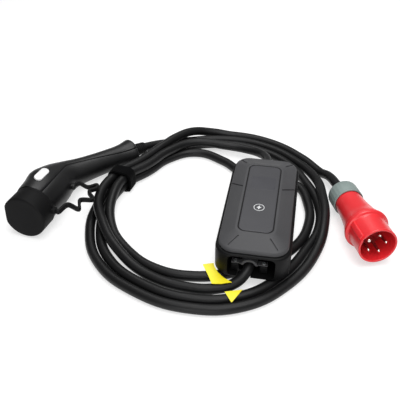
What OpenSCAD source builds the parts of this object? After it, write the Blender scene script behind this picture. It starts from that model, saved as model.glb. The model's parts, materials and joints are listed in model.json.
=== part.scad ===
// Portable charger for an electric car: vehicle connector, control box, five-pole plug and coiled cables.

/* [Cable] */

// diameter of both cables
cable_d = 15; // [14:0.1:15]
// wall of the hook-and-loop tie
tie_wall = 1.6; // [1.2:0.1:2]
// width of the hook-and-loop tie
tie_w = 20; // [16:1:24]

/* [Vehicle connector] */

// outer diameter of the dust cap
cap_d = 67; // [65.5:0.5:67.5]
// wall thickness of the connector shells
shell_wall = 3; // [2.6:0.1:3.2]
// diameter of the contact nose
nose_d = 55; // [54:0.5:55.5]
// outer diameter of a power contact
power_d = 8; // [7:0.5:8.5]
// outer diameter of a pilot contact
pilot_d = 5; // [4.5:0.5:6]

/* [Control box] */

// width of the base
box_w = 103; // [100:1:105]
// length of the base
box_l = 226; // [224:1:228]
// height of the base wall
box_h = 40; // [38:1:42]
// wall of the base
box_wall = 4; // [3.6:0.1:4.4]
// rise of the lid above the base
lid_rise = 14; // [12:1:16]
// width of the display panel
panel_w = 48; // [44:1:50]

/* [Mains plug] */

// outside diameter of the plug sleeve
sleeve_d = 56; // [54:0.5:57]
// depth of the plug sleeve
sleeve_l = 38; // [37:0.5:39.5]
// diameter of a live pin
pin_d = 5; // [4.8:0.1:5.4]
// diameter of the earth pin
earth_d = 7; // [6.6:0.1:7.4]
// circle of the pin centres
pin_circle = 28; // [27:0.5:29]
// diameter of the plug flange
flange_d = 65; // [64:0.5:66]

/* [Hidden] */

$fn = 64;
cable_r = cable_d / 2;
fit = 0.1;

// the layout's own origin, seen from the middle of the connector and the box
shift = [66.89, 31.68, 0];
// middle of the coil
coil_c = [20, -20];

// a point of the coil: angle about its middle, radius, height
function lay(p) = [coil_c[0] + p[1] * cos(p[0]), coil_c[1] + p[1] * sin(p[0]), p[2]];
// a layout point in the part's own frame, raised so that a thinner cable still lies on the floor
function put(p) = p + shift;

// charge cable: from the connector's boot round the coil three times and into the rear of the box
charge_coil = [
  [120, 189, 13.5], [110, 188.5, 9],
  [100, 188, 7.5], [80, 190.5, 7.5], [60, 191, 7.5], [40, 187, 8], [20, 180.5, 13.8], [0, 171.2, 22.9],
  [-20, 175.5, 23], [-40, 187, 14], [-60, 200.5, 7.5], [-80, 217, 7.5], [-100, 220, 7.5],
  [-120, 216, 7.5], [-140, 210.5, 7.5], [-160, 196, 7.5], [-180, 180, 8], [-200, 166.5, 9.7],
  [-220, 155, 8],
  [120, 165, 7.5], [100, 172, 7.5], [80, 174.5, 7.5], [60, 174.5, 7.5], [40, 171, 7.5],
  [20, 164.5, 7.5], [0, 166, 7.5], [-20, 169, 7.5], [-40, 170.5, 7.5], [-60, 183.5, 7.5],
  [-80, 200, 7.5], [-100, 204, 7.5], [-120, 200, 7.5], [-140, 194.5, 7.5], [-160, 179.6, 7.5],
  [-180, 163.4, 8], [-200, 150, 9.7], [-220, 138.5, 8],
  [120, 147, 7.5], [100, 148, 7.5], [80, 121, 7.5], [60, 101, 7.5], [40, 114, 7.5], [20, 146, 7.5],
  [0, 150, 7.5], [-20, 152.5, 7.5], [-40, 154, 7.5], [-60, 151, 7.5], [-80, 154, 7.5],
  [-100, 162, 7.5], [-120, 166.5, 7.5], [-140, 164, 7.5], [-160, 163, 13], [-180, 156, 23.4],
  [-200, 149, 25.1], [-220, 138, 23.5],
  [120, 148, 23], [100, 162, 20.5], [80, 156, 17]];
charge_end = [[80, 123, 17], [103, 105, 20.5], [112, 81, 26.5]];
// supply cable: from the front of the box round the coil once and out to the plug
supply_start = [[66.6, -179.4, 28.8], [60, -191, 22.8], [47.5, -199.6, 15.4], [27.5, -203.6, 9.6]];
supply_coil = [
  [-100, 184.5, 7.5], [-120, 182, 8], [-140, 178, 16], [-160, 175.5, 23.2], [-180, 177, 23.7],
  [-200, 166.5, 25.2], [-220, 155, 23.6], [120, 166, 25], [110, 179.5, 25.5], [100, 194.5, 23],
  [90, 205, 13.5],
  [80, 207, 7.5], [60, 207, 7.5], [40, 203, 7.5], [25, 200.5, 9]];
supply_end = [[212, 43, 16.5]];
cable_sides = 10;

// rotations of a point: about Z, about Y, about X
function turn_z(p, a) = [p[0] * cos(a) - p[1] * sin(a), p[0] * sin(a) + p[1] * cos(a), p[2]];
function turn_y(p, a) = [p[0] * cos(a) + p[2] * sin(a), p[1], -p[0] * sin(a) + p[2] * cos(a)];

// vehicle connector: where its cap face stands, how it is turned and how far its nose is raised
gun_turn = 72.5;
gun_tilt = 3.95;
cap_l = 34;
cap_gap = 0.4;
cap_floor = 3.6;
head_l = 58;
bend_r = 80;
bend_a = 32;
grip_l = 112;
cap_r = cap_d / 2;
nose_r = nose_d / 2;
gun_at = [-258, -89, cap_r * cos(gun_tilt) + (cap_l - cap_gap) * sin(gun_tilt) + 0.02];
flat_k = 0.84;
boot_l = 30;
boot_end_r = cable_r + 2;

// the connector's spine: place and heading at a distance behind the cap
bend_l = bend_r * bend_a * PI / 180;
spine_l = head_l + bend_l + grip_l;
bend_end = [cap_l + head_l + bend_r * sin(bend_a), -bend_r * (1 - cos(bend_a))];
function spine_a(s) =
  s < head_l ? 0 : s < head_l + bend_l ? -(s - head_l) / bend_r * 180 / PI : -bend_a;
function spine_p(s) =
  s < head_l ? [cap_l + s, 0]
  : s < head_l + bend_l
    ? [cap_l + head_l - bend_r * sin(spine_a(s)), -bend_r * (1 - cos(spine_a(s)))]
    : bend_end + (s - head_l - bend_l) * [cos(bend_a), -sin(bend_a)];

// shell sections: distance along the spine, half breadth, half height, turn of the parting line
shell_rows = [
  [0, 30.6, 30.6, 22], [6, 31.2, 31, 22], [16, 31.8, 31.3, 22], [30, 32.1, 31.2, 22], [44, 31.9, 30.2, 20],
  [58, 30.8, 29.2, 16], [68, 29.1, 28, 10], [78, 26.9, 26.3, 4], [88, 24.6, 24.3, 0], [98, 22.7, 22.6, 0],
  [110, 21.1, 21.1, 4], [130, 19.6, 19.8, 8], [155, 18.8, 19, 18], [180, 18.8, 18.8, 28],
  [192, 19.8, 19.3, 30], [202, 21.8, 20.2, 30], [spine_l - 5, 22.3, 20.2, 30],
  [spine_l - 1.5, 20.4, 19, 30],
  [spine_l, 17.8, 17.8, 30]];
shell_end_r = 17.8;
half_n = 16;
stem_l = 32;
contact_l = 60;
// power contacts on the nose face, across the flat and upwards
power_at = [[1, 0], [1, 16], [1, -16], [-14, 8.5], [-14, -8.5]];
pilot_at = [[14, 8], [14, -8]];
// shell screws along the spine
screw_s = [50, 120, 185];
screw_r = 1.5;
screw_head_r = 3;
screw_boss_r = 5;
badge_at = [87, 15, 23.4];
badge_tilt = -33;
badge_pitch = 4;
badge_l = 27;
badge_w = 12;
badge_t = 2.6;
// strap between the cap and the grip: points on the plan, and its height above the floor
strap_folds = [
  [-198, -59], [-180, -69], [-181, -48], [-162, -46], [-171, -27], [-160, -18],
  [-161, -10], [-174, -15], [-188, -5]];
strap_t = 2.4;
strap_h = 8;
strap_z = 32.8;
strap_gap = 0.6;
strap_lead = 4;
lug_y = cap_r + 5;
cap_lug_x = cap_l - cap_gap - 5;
grip_lug_x = 97;
grip_lug_y = 36;
lug_low = -1;

// one point of a shell section in the connector's own frame
function ring_pt(row, a, cut) =
  let (p = spine_p(row[0]), h = spine_a(row[0]), v = (row[1] - cut) * cos(a))
    [p[0] - v * sin(h), p[1] + v * cos(h), (row[2] - cut) * sin(a)];

// faces of a run of closed rings with a cap on each end
function run_faces(rings, n) = concat(
  [[for (i = [0:n - 1]) i]],
  [for (k = [0:rings - 2]) for (i = [0:n - 1])
    let (j = (i + 1) % n)
      each [[k * n + i, (k + 1) * n + j, k * n + j], [k * n + i, (k + 1) * n + i, (k + 1) * n + j]]],
  [[for (i = [n - 1:-1:0]) (rings - 1) * n + i]]);

// control box: middle of its underside and its turn on the floor
box_at = [87.4, -81.3, 15.2];
box_turn = -10.2;
base_corner = 24;
bay_w = 64;
bay_l = 49;
bay_x = -3;
bay_floor = 3;
bay_lip = 13;
bay_roof = 4;
gland_r = 11;
gland_flange = gland_r + 1.8;
gland_z = box_wall + gland_flange + 0.2;
gland_l = 22;
gasket_t = 1.2;
lid_inset = 4;
seat_w = 5;
lid_corner = 22;
lid_wall = 3.2;
lid_z = box_h + gasket_t;
panel_l = 156;
panel_y = -1;
panel_t = 1.6;
panel_corner = 7.5;
plateau_edge = 4;
window_w = 36;
window_l = 32;
window_y = 32;
window_t = 0.8;
touch_y = -26;
touch_r = 8;
touch_t = 0.6;
corner_n = 6;
board_z = 9;
board_t = 1.6;
board_gap = 4.5;
board_w = box_w - 2 * box_wall - 2 * board_gap;
board_front = -box_l / 2 + bay_l + box_wall + 10;
board_rear = box_l / 2 - box_wall - 29;
board_l = board_rear - board_front;
board_y = (board_front + board_rear) / 2;
board_hole = 8;
board_screw_r = 1.2;
board_screw_head_r = 2.6;
board_screw_head_h = 1.8;
board_screw_l = 6;
relay_w = board_w * 0.175;
relay_pitch = board_w * 0.198;
relay_l = board_l * 0.215;
relay_h = 20;
sensor_r = 17;
sensor_bore_r = 9;
sensor_h = 14;
module_w = board_w * 0.325;
module_l = board_l * 0.308;
module_h = 19;
terminal_w = board_w * 0.65;
terminal_l = 14;
terminal_h = 16;
terminal_hole_r = 3;
post_x = box_w / 2 - 13.5;
post_y = box_l / 2 - 19.5;
post_r = 5;
lid_screw_r = 1.8;
lid_screw_head_r = 3.6;
lug_x = 19.5;
lug_w = 11;
lug_h = 12;
lug_z = 4;
lug_l = bay_l - 9;
lug_screw_r = 2;
lug_screw_head_r = 3.6;
lug_screw_head_h = 2.4;
lug_screw_l = 8;

// mains plug: middle of its rear face, its turn on the floor; it lies on its flange and its nut
plug_turn = -80.5;
plug_roll = 58;
nut_r = 23.5;
nut_l = 38;
body_l = 66;
flange_l = 7;
flange_x = nut_l + body_l;
plug_tilt = atan((flange_d / 2 - nut_r) / flange_x);
plug_at = [221.5, -4, nut_r * cos(plug_tilt) + 0.02];
sleeve_r = sleeve_d / 2;
sleeve_wall = 3;
rim_x = flange_x + flange_l + sleeve_l;
insert_t = 8;
pin_l = 33;
pin_root = 0.4;
pin_neck = 0.8;
key_w = 8;
key_h = 1.8;
seal_r = 11;

// world place of a point of the connector, the box and the plug
function plan(p) = [p[0], p[1]];
function gun_pt(p) = put(gun_at + turn_z(turn_y(p, gun_tilt), gun_turn));
function box_pt(p) = put(box_at + turn_z(p, box_turn));
function plug_pt(p) = put(plug_at + turn_z(turn_y(p, -plug_tilt), plug_turn));

strap_path = concat(
  [plan(gun_at + turn_z([cap_lug_x, -lug_y - strap_gap, 0], gun_turn)),
    plan(gun_at + turn_z([cap_lug_x, -lug_y - strap_gap - strap_lead, 0], gun_turn))],
  strap_folds,
  [plan(gun_at + turn_z([grip_lug_x, 0.4 - grip_lug_y, 0], gun_turn))]);

boot_tip = concat(spine_p(spine_l) + boot_l * [cos(bend_a), -sin(bend_a)], [0]);
boot_dir = turn_z(turn_y([cos(bend_a), -sin(bend_a), 0], gun_tilt), gun_turn);
rear_tip = [0, box_l / 2 + gland_l, gland_z];
front_tip = [bay_x, -box_l / 2 + bay_l - gland_l, gland_z];
box_dir = turn_z([0, 1, 0], box_turn);
plug_dir = turn_z(turn_y([1, 0, 0], -plug_tilt), plug_turn);

charge_route = concat(
  [gun_pt(boot_tip)],
  [for (p = charge_coil) put(lay(p))],
  [for (p = charge_end) put(p)],
  [box_pt(rear_tip)]);
supply_route = concat(
  [box_pt(front_tip)],
  [for (p = supply_start) put(p)],
  [for (p = supply_coil) put(lay(p))],
  [for (p = supply_end) put(p)],
  [plug_pt([-18, 0, 0]), plug_pt([0, 0, 0])]);

function unit(v) = v / norm(v);

// round cable along a route that leaves in one heading and arrives in another
module cable(route, leave, arrive) {
  last = len(route) - 1;
  heads = [for (i = [0:last])
    i == 0 ? leave : i == last ? arrive :
      unit(unit(route[i] - route[i - 1]) + unit(route[i + 1] - route[i]))];
  pts = [for (i = [0:last])
    let (t = heads[i], side = unit(cross([0, 0, 1], t)), up = cross(t, side))
      each [for (k = [0:cable_sides - 1])
        let (a = (k + 0.5) * 360 / cable_sides)
          route[i] + cable_r * (cos(a) * side + sin(a) * up)]];
  polyhedron(pts, run_faces(last + 1, cable_sides));
}

// half shell of the connector: outer arc and inner arc of every section
module half_shell(from) {
  n = 2 * (half_n + 1);
  rows = len(shell_rows);
  last = (rows - 1) * n;
  function turn(row, i) =
    from < 0 ? from + i * (180 + row[3]) / half_n : from + row[3] + i * (180 - row[3]) / half_n;
  pts = [for (row = shell_rows) each concat(
    [for (i = [0:half_n]) ring_pt(row, turn(row, i), 0)],
    [for (i = [half_n:-1:0]) ring_pt(row, turn(row, i), shell_wall)])];
  sides = [for (k = [0:rows - 2]) for (i = [0:n - 1])
    let (j = (i + 1) % n)
      each [[k * n + i, (k + 1) * n + j, k * n + j], [k * n + i, (k + 1) * n + i, (k + 1) * n + j]]];
  ends = [for (i = [0:half_n - 1]) each [
    [i, i + 1, n - 1 - i], [i + 1, n - 2 - i, n - 1 - i],
    [last + i, last + n - 1 - i, last + i + 1], [last + i + 1, last + n - 1 - i, last + n - 2 - i]]];
  polyhedron(pts, concat(sides, ends));
}

// puts connector pieces where the connector lies
module gun() {
  translate(put(gun_at))
    rotate([0, 0, gun_turn])
      rotate([0, gun_tilt, 0])
        children();
}

// puts box pieces where the box lies
module box() {
  translate(put(box_at))
    rotate([0, 0, box_turn])
      children();
}

// puts plug pieces where the plug lies
module plug() {
  translate(put(plug_at))
    rotate([0, 0, plug_turn])
      rotate([0, -plug_tilt, 0])
        children();
}

// turns a round piece onto the X axis from a given start
module along_x(x) {
  translate([x, 0, 0])
    rotate([0, 90, 0])
      children();
}

// a round piece along the connector's spine
module along_spine(s) {
  translate(concat(spine_p(s), [0]))
    rotate([0, 0, spine_a(s)])
      rotate([0, 90, 0])
        children();
}

// a round piece across the connector's spine, towards its back
module across_spine(s) {
  translate(concat(spine_p(s), [0]))
    rotate([0, 0, spine_a(s)])
      rotate([-90, 0, 0])
        children();
}

// rounded rectangle from squares and circles
module rrect(w, l, r) {
  square([w - 2 * r, l], center = true);
  square([w, l - 2 * r], center = true);
  for (x = [-1, 1], y = [-1, 1])
    translate([x * (w / 2 - r), y * (l / 2 - r)])
      circle(r);
}

// pill outline
module pill(l, w) {
  square([l - w, w], center = true);
  for (x = [-1, 1])
    translate([x * (l - w) / 2, 0])
      circle(w / 2);
}

module badge_solid(grow) {
  translate(badge_at)
    rotate([badge_tilt, 0, 0])
      rotate([0, badge_pitch, 0])
        translate([0, 0, -grow])
          linear_extrude(badge_t + grow)
            pill(badge_l + 2 * grow, badge_w + 2 * grow);
}

// shell breadth at a screw: from the table, by straight steps between sections
function breadth(s) = lookup(s, [for (row = shell_rows) [row[0], row[1]]]);

module back_shell() {
  color("#2d2d2d")
    gun()
      difference() {
        union() {
          half_shell(-90);
          for (s = screw_s)
            across_spine(s)
              cylinder(h = breadth(s) - 1, r = screw_boss_r);
        }
        for (s = screw_s)
          across_spine(s)
            translate([0, 0, -1])
              cylinder(h = 12, r = screw_r + fit);
        badge_solid(fit);
      }
}

module grip_shell() {
  color("#303030")
    gun()
      difference() {
        union() {
          half_shell(90);
          for (s = screw_s)
            across_spine(s)
              translate([0, 0, 1 - breadth(s)])
                cylinder(h = breadth(s) - 1, r = screw_boss_r);
          grip_lug();
        }
        for (s = screw_s)
          across_spine(s) {
            translate([0, 0, -30])
              cylinder(h = 31, r = screw_r + fit);
            translate([0, 0, -40])
              cylinder(h = 34, r = screw_head_r + fit);
          }
      }
}

// eye block on the grip where the strap ends
module grip_lug() {
  translate([grip_lug_x - 5, -grip_lug_y, lug_low])
    cube([10, 14, 8]);
}

module shell_screws() {
  color("#8d9094")
    gun()
      for (s = screw_s)
        across_spine(s) {
          translate([0, 0, -6])
            cylinder(h = 16, r = screw_r);
          translate([0, 0, -9])
            cylinder(h = 3, r = screw_head_r);
        }
}

module badge() {
  color("#f2f2f2")
    gun()
      badge_solid(0);
}

module contact_carrier() {
  stem_r = shell_rows[0][1] - shell_wall - 0.25;
  color("#1c1c1d")
    gun()
      difference() {
        union() {
          along_x(cap_floor + 0.6)
            cylinder(h = cap_l - cap_floor - 0.6, r = nose_r);
          along_x(cap_l)
            cylinder(h = 6, r = stem_r);
          along_x(cap_l + 6)
            cylinder(h = stem_l - 6, r = 21.5);
        }
        translate([-1, nose_r * flat_k, -40])
          cube([cap_l - 5, 40, 80]);
        for (p = power_at)
          translate([0, p[0], p[1]])
            along_x(0)
              cylinder(h = 90, r = power_d / 2 + fit);
        for (p = pilot_at)
          translate([0, p[0], p[1]])
            along_x(0)
              cylinder(h = 90, r = pilot_d / 2 + fit);
      }
}

module contact_tube(d, bore) {
  along_x(cap_floor + 2.4)
    difference() {
      cylinder(h = contact_l, r = d / 2);
      translate([0, 0, -1])
        cylinder(h = 30, r = bore / 2);
    }
}

module power_contacts() {
  color("#c9a24a")
    gun()
      for (p = power_at)
        translate([0, p[0], p[1]])
          contact_tube(power_d, power_d - 2);
}

module pilot_contacts() {
  color("#c9a24a")
    gun()
      for (p = pilot_at)
        translate([0, p[0], p[1]])
          contact_tube(pilot_d, pilot_d - 2);
}

module connector_boot() {
  plug_r = shell_end_r - shell_wall - 0.25;
  color("#222222")
    gun()
      along_spine(spine_l)
        rotate_extrude()
          polygon([
            [0, -12], [plug_r, -12], [plug_r, 0], [plug_r - 1, 1.5], [boot_end_r + 2, 4],
            [boot_end_r, boot_l], [0, boot_l]]);
}

module dust_cap() {
  color("#202020")
    gun()
      difference() {
        union() {
          intersection() {
            along_x(0)
              rotate_extrude()
                polygon([
                  [0, 0], [cap_r - 2.5, 0], [cap_r - 0.8, 0.8], [cap_r, 2.5], [cap_r, cap_l - cap_gap],
                  [0, cap_l - cap_gap]]);
            translate([-1, -50, -50])
              cube([80, 50 + cap_r * 0.94, 100]);
          }
          translate([cap_lug_x - 5, -lug_y, lug_low])
            cube([10, 12, 8]);
        }
        along_x(cap_floor)
          cylinder(h = 60, r = nose_r + 0.35);
      }
}

// headings of the strap's runs, and the mitre at each of its folds
strap_last = len(strap_path) - 1;
strap_runs = [for (i = [0:strap_last - 1]) unit(strap_path[i + 1] - strap_path[i])];
function left(d) = [-d[1], d[0]];
function mitre(i) =
  i == 0 ? left(strap_runs[0])
  : i == strap_last ? left(strap_runs[strap_last - 1])
  : let (n = left(strap_runs[i]), m = unit(left(strap_runs[i - 1]) + n)) m / max(0.3, m * n);

module cap_strap() {
  color("#1d1d1d")
    translate(put([0, 0, strap_z]))
      linear_extrude(strap_h)
        polygon(concat(
          [for (i = [0:strap_last]) strap_path[i] - strap_t / 2 * mitre(i)],
          [for (i = [strap_last:-1:0]) strap_path[i] + strap_t / 2 * mitre(i)]));
}

module box_base() {
  in_w = box_w - 2 * box_wall;
  in_l = box_l - 2 * box_wall;
  bay_y = -box_l / 2 + bay_l;
  color("#1b1b1c")
    box()
      difference() {
        union() {
          difference() {
            linear_extrude(box_h)
              rrect(box_w, box_l, base_corner);
            translate([0, 0, box_wall])
              linear_extrude(box_h - box_wall - bay_roof)
                difference() {
                  rrect(in_w, in_l, base_corner - box_wall);
                  translate([-bay_w / 2 - box_wall, -box_l])
                    square([bay_w + 2 * box_wall, box_l + bay_y + box_wall]);
                }
            translate([0, 0, box_h - bay_roof - 1])
              linear_extrude(box_h)
                difference() {
                  rrect(in_w - 2 * seat_w, in_l - 2 * seat_w, base_corner - box_wall - seat_w);
                  translate([-bay_w / 2 - box_wall, -box_l])
                    square([bay_w + 2 * box_wall, box_l + bay_y + box_wall]);
                }
            translate([-bay_w / 2, -box_l, bay_floor])
              cube([bay_w, box_l + bay_y, box_h - bay_roof - bay_floor]);
            translate([-bay_w / 2, -box_l, -1])
              cube([bay_w, box_l / 2 + bay_lip, box_h - bay_roof + 1]);
          }
          for (x = [-1, 1], y = [-1, 1])
            translate([x * post_x, y * post_y, 1])
              cylinder(h = lid_z - 1.2, r = post_r);
          for (x = [-1, 1], y = [-1, 1])
            translate([x * (board_w / 2 - board_hole), board_y + y * (board_l / 2 - board_hole), 1])
              cylinder(h = board_z - 1, r = 4);
          for (x = [-1, 1])
            translate([bay_x + x * lug_x - lug_w / 2, bay_y - lug_l, lug_z])
              cube([lug_w, lug_l + 1, lug_h]);
        }
        for (x = [-1, 1], y = [-1, 1])
          translate([x * post_x, y * post_y, -1]) {
            cylinder(h = lid_z + 2, r = lid_screw_r + fit);
            cylinder(h = 7, r = lid_screw_head_r + fit);
          }
        for (x = [-1, 1], y = [-1, 1])
          translate([x * (board_w / 2 - board_hole), board_y + y * (board_l / 2 - board_hole), 2])
            cylinder(h = 20, r = board_screw_r + fit);
        for (x = [-1, 1])
          translate([bay_x + x * lug_x, bay_y - lug_l + 6, lug_z + 2])
            cylinder(h = 20, r = lug_screw_r + fit);
        translate([0, 0, gland_z])
          rotate([-90, 0, 0])
            cylinder(h = box_l, r = gland_r + fit);
        translate([bay_x, bay_y - 1, gland_z])
          rotate([-90, 0, 0])
            cylinder(h = box_wall + 2, r = gland_r + fit);
      }
}

// ring of a rounded rectangle at a height, with a set number of points in each corner
function rrect_ring(w, l, r, y, z) = [
  for (c = [[1, 1, 0], [-1, 1, 90], [-1, -1, 180], [1, -1, 270]]) for (i = [0:corner_n])
    let (a = c[2] + i * 90 / corner_n)
      [c[0] * (w / 2 - r) + r * cos(a), y + c[1] * (l / 2 - r) + r * sin(a), z]];

module box_lid() {
  w = box_w - 2 * lid_inset;
  l = box_l - 2 * lid_inset;
  t = 2 * lid_wall;
  pw = panel_w + 2 * plateau_edge;
  pl = panel_l + 2 * plateau_edge;
  floor_z = lid_rise - panel_t;
  rings = [
    rrect_ring(pw - t, pl - t, 6, panel_y, floor_z - 2.4),
    rrect_ring(w - t - 6, l - t - 6, lid_corner - 6, 0, 2.6),
    rrect_ring(w - t, l - t, lid_corner - 3, 0, 1),
    rrect_ring(w - t, l - t, lid_corner - 3, 0, 0),
    rrect_ring(w, l, lid_corner, 0, 0),
    rrect_ring(w, l, lid_corner, 0, 2.6),
    rrect_ring(w - 1.4, l - 1.4, lid_corner - 0.7, 0, 4.2),
    rrect_ring(w - 4.4, l - 4.4, lid_corner - 2, 0, 5.4),
    rrect_ring(pw + 1, pl + 1, 10, panel_y, lid_rise - 0.4),
    rrect_ring(pw - 1, pl - 1, 9, panel_y, lid_rise),
    rrect_ring(panel_w + 2 * fit, panel_l + 2 * fit, panel_corner, panel_y, lid_rise),
    rrect_ring(panel_w + 2 * fit, panel_l + 2 * fit, panel_corner, panel_y, floor_z)];
  n = 4 * (corner_n + 1);
  color("#4b4c4f")
    box()
      translate([0, 0, lid_z])
        difference() {
          union() {
            polyhedron([for (r = rings) each r], run_faces(len(rings), n));
            for (x = [-1, 1], y = [-1, 1])
              translate([x * post_x, y * post_y, 0])
                cylinder(h = 4.2, r = post_r);
          }
          for (x = [-1, 1], y = [-1, 1])
            translate([x * post_x, y * post_y, -1])
              cylinder(h = 4.4, r = lid_screw_r + fit);
        }
}

module box_gasket() {
  color("#101011")
    box()
      translate([0, 0, box_h])
        linear_extrude(gasket_t)
          difference() {
            rrect(box_w - 2 * lid_inset - 0.4, box_l - 2 * lid_inset - 0.4, lid_corner - 0.2);
            rrect(box_w - 2 * lid_inset - 5, box_l - 2 * lid_inset - 5, lid_corner - 2.5);
          }
}

module display_panel() {
  color("#47484c")
    box()
      translate([0, panel_y, lid_z + lid_rise - panel_t])
        difference() {
          linear_extrude(panel_t)
            rrect(panel_w, panel_l, panel_corner);
          translate([0, window_y - panel_y, panel_t - window_t])
            linear_extrude(5)
              rrect(window_w + 2 * fit, window_l + 2 * fit, 3);
          translate([0, touch_y - panel_y, panel_t - touch_t])
            difference() {
              cylinder(h = 5, r = touch_r + fit);
              translate([0, 0, -1])
                cylinder(h = 9, r = touch_r - 1.8 - fit);
            }
        }
}

module display_window() {
  color("#3b4250")
    box()
      translate([0, window_y, lid_z + lid_rise - window_t])
        linear_extrude(window_t)
          rrect(window_w, window_l, 3);
}

module touch_ring() {
  color("#d8d9da")
    box()
      translate([0, touch_y, lid_z + lid_rise - touch_t])
        difference() {
          cylinder(h = touch_t, r = touch_r);
          translate([0, 0, -1])
            cylinder(h = 5, r = touch_r - 1.8);
        }
}

module main_board() {
  color("#2f6b3d")
    box()
      translate([0, board_y, board_z])
        difference() {
          translate([-board_w / 2, -board_l / 2, 0])
            cube([board_w, board_l, board_t]);
          for (x = [-1, 1], y = [-1, 1])
            translate([x * (board_w / 2 - board_hole), y * (board_l / 2 - board_hole), -1])
              cylinder(h = 5, r = board_screw_r + fit);
        }
}

module board_screws() {
  color("#8d9094")
    box()
      for (x = [-1, 1], y = [-1, 1])
        translate([x * (board_w / 2 - board_hole), board_y + y * (board_l / 2 - board_hole),
                   board_z + board_t]) {
          cylinder(h = board_screw_head_h, r = board_screw_head_r);
          translate([0, 0, -board_screw_l])
            cylinder(h = board_screw_l + 0.5, r = board_screw_r);
        }
}

module relays() {
  color("#23282e")
    box()
      for (i = [0:3])
        translate([(i - 1.5) * relay_pitch - relay_w / 2, board_y + board_l * 0.06, board_z + board_t])
          cube([relay_w, relay_l, relay_h]);
}

module current_sensor() {
  color("#3a3d40")
    box()
      translate([-board_w * 0.233, board_y - board_l * 0.215, board_z + board_t])
        difference() {
          cylinder(h = sensor_h, r = sensor_r);
          translate([0, 0, -1])
            cylinder(h = sensor_h + 2, r = sensor_bore_r);
        }
}

module power_module() {
  color("#2a2a2a")
    box()
      translate([board_w * 0.07, board_y - board_l * 0.354, board_z + board_t])
        cube([module_w, module_l, module_h]);
}

module terminal_block() {
  color("#57606a")
    box()
      translate([-terminal_w / 2, board_rear - terminal_l - 5, board_z + board_t])
        difference() {
          cube([terminal_w, terminal_l, terminal_h]);
          for (i = [0:4])
            translate([(i + 0.5) * terminal_w / 5, terminal_l / 2, terminal_h / 2])
              cylinder(h = terminal_h, r = terminal_hole_r);
        }
}

module lid_screws() {
  color("#8d9094")
    box()
      for (x = [-1, 1], y = [-1, 1])
        translate([x * post_x, y * post_y, 3]) {
          cylinder(h = 3, r = lid_screw_head_r);
          translate([0, 0, 2])
            cylinder(h = lid_z - 2.4, r = lid_screw_r);
        }
}

module lug_screws() {
  color("#b9bcc0")
    box()
      for (x = [-1, 1])
        translate([bay_x + x * lug_x, -box_l / 2 + bay_l - lug_l + 6, lug_z + lug_h]) {
          cylinder(h = lug_screw_head_h, r = lug_screw_head_r);
          translate([0, 0, -lug_screw_l])
            cylinder(h = lug_screw_l + 1, r = lug_screw_r);
        }
}

// tapered cable boot: inner flange, neck through the wall, cone outside
module gland_boot() {
  color("#1d1d1e")
    rotate_extrude()
      polygon([
        [0, -box_wall - 3], [gland_flange, -box_wall - 3], [gland_flange, -box_wall], [gland_r, -box_wall],
        [gland_r, 2], [gland_r - 1, 3.5], [boot_end_r, gland_l], [0, gland_l]]);
}

module rear_boot() {
  box()
    translate([0, box_l / 2, gland_z])
      rotate([-90, 0, 0])
        gland_boot();
}

module front_boot() {
  box()
    translate([bay_x, -box_l / 2 + bay_l, gland_z])
      rotate([90, 0, 0])
        gland_boot();
}

module plug_sleeve() {
  color("#d9262e")
    plug() {
      difference() {
        union() {
          along_x(flange_x)
            cylinder(h = flange_l, r = flange_d / 2);
          along_x(flange_x + flange_l)
            cylinder(h = sleeve_l, r = sleeve_r);
          rotate([plug_roll, 0, 0])
            translate([flange_x + flange_l - 1, -key_w / 2, sleeve_r - 2])
              cube([sleeve_l - 3, key_w, key_h + 2]);
        }
        along_x(flange_x - 1)
          cylinder(h = 200, r = sleeve_r - sleeve_wall);
        rotate([plug_roll, 0, 0])
          translate([flange_x + flange_l + 6, -key_w / 2 + 1.6, 0])
            cube([sleeve_l, key_w - 3.2, sleeve_r - 1.2]);
      }
    }
}

module plug_insert() {
  ri = sleeve_r - sleeve_wall - fit;
  color("#7d1a20")
    plug()
      rotate([plug_roll, 0, 0])
        difference() {
          along_x(flange_x)
            cylinder(h = insert_t, r = ri);
          translate([0, 0, pin_circle / 2])
            along_x(flange_x - 1)
              cylinder(h = 20, r = earth_d / 2 + pin_root + fit);
          for (k = [1:4])
            rotate([k * 72, 0, 0])
              translate([0, 0, pin_circle / 2])
                along_x(flange_x - 1)
                  cylinder(h = 20, r = pin_d / 2 + pin_root + fit);
        }
}

// contact pin with a rounded tip
module pin_shape(d) {
  along_x(flange_x - 10)
    rotate_extrude()
      polygon([
        [0, 0], [d / 2 + pin_root, 0], [d / 2 + pin_root, 10 + insert_t - 0.3],
        [d / 2 - 0.2, 10 + insert_t - 0.3], [d / 2 - 0.2, 10 + insert_t + pin_neck - 0.2],
        [d / 2, 10 + insert_t + pin_neck], [d / 2, pin_l + insert_t + 10 - 1.2],
        [d / 2 - 1, pin_l + insert_t + 10], [0, pin_l + insert_t + 10]]);
}

module live_pins() {
  color("#c8c8c2")
    plug()
      rotate([plug_roll, 0, 0])
        for (k = [1:4])
          rotate([k * 72, 0, 0])
            translate([0, 0, pin_circle / 2])
              pin_shape(pin_d);
}

module earth_pin() {
  color("#c8c8c2")
    plug()
      rotate([plug_roll, 0, 0])
        translate([0, 0, pin_circle / 2])
          pin_shape(earth_d);
}

module plug_housing() {
  color("#d9262e")
    plug()
      along_x(nut_l - 10)
        rotate_extrude()
          polygon([
            [seal_r + 0.2, 0], [14, 0], [14, 7.5], [20.6, 7.5], [21, 14], [22.5, 34], [26, 58], [29, 68],
            [30, 72], [30, body_l + 10], [26, body_l + 10], [25.5, 66], [21.5, 54], [17, 20],
            [seal_r + 0.2, 16]]);
}

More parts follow.
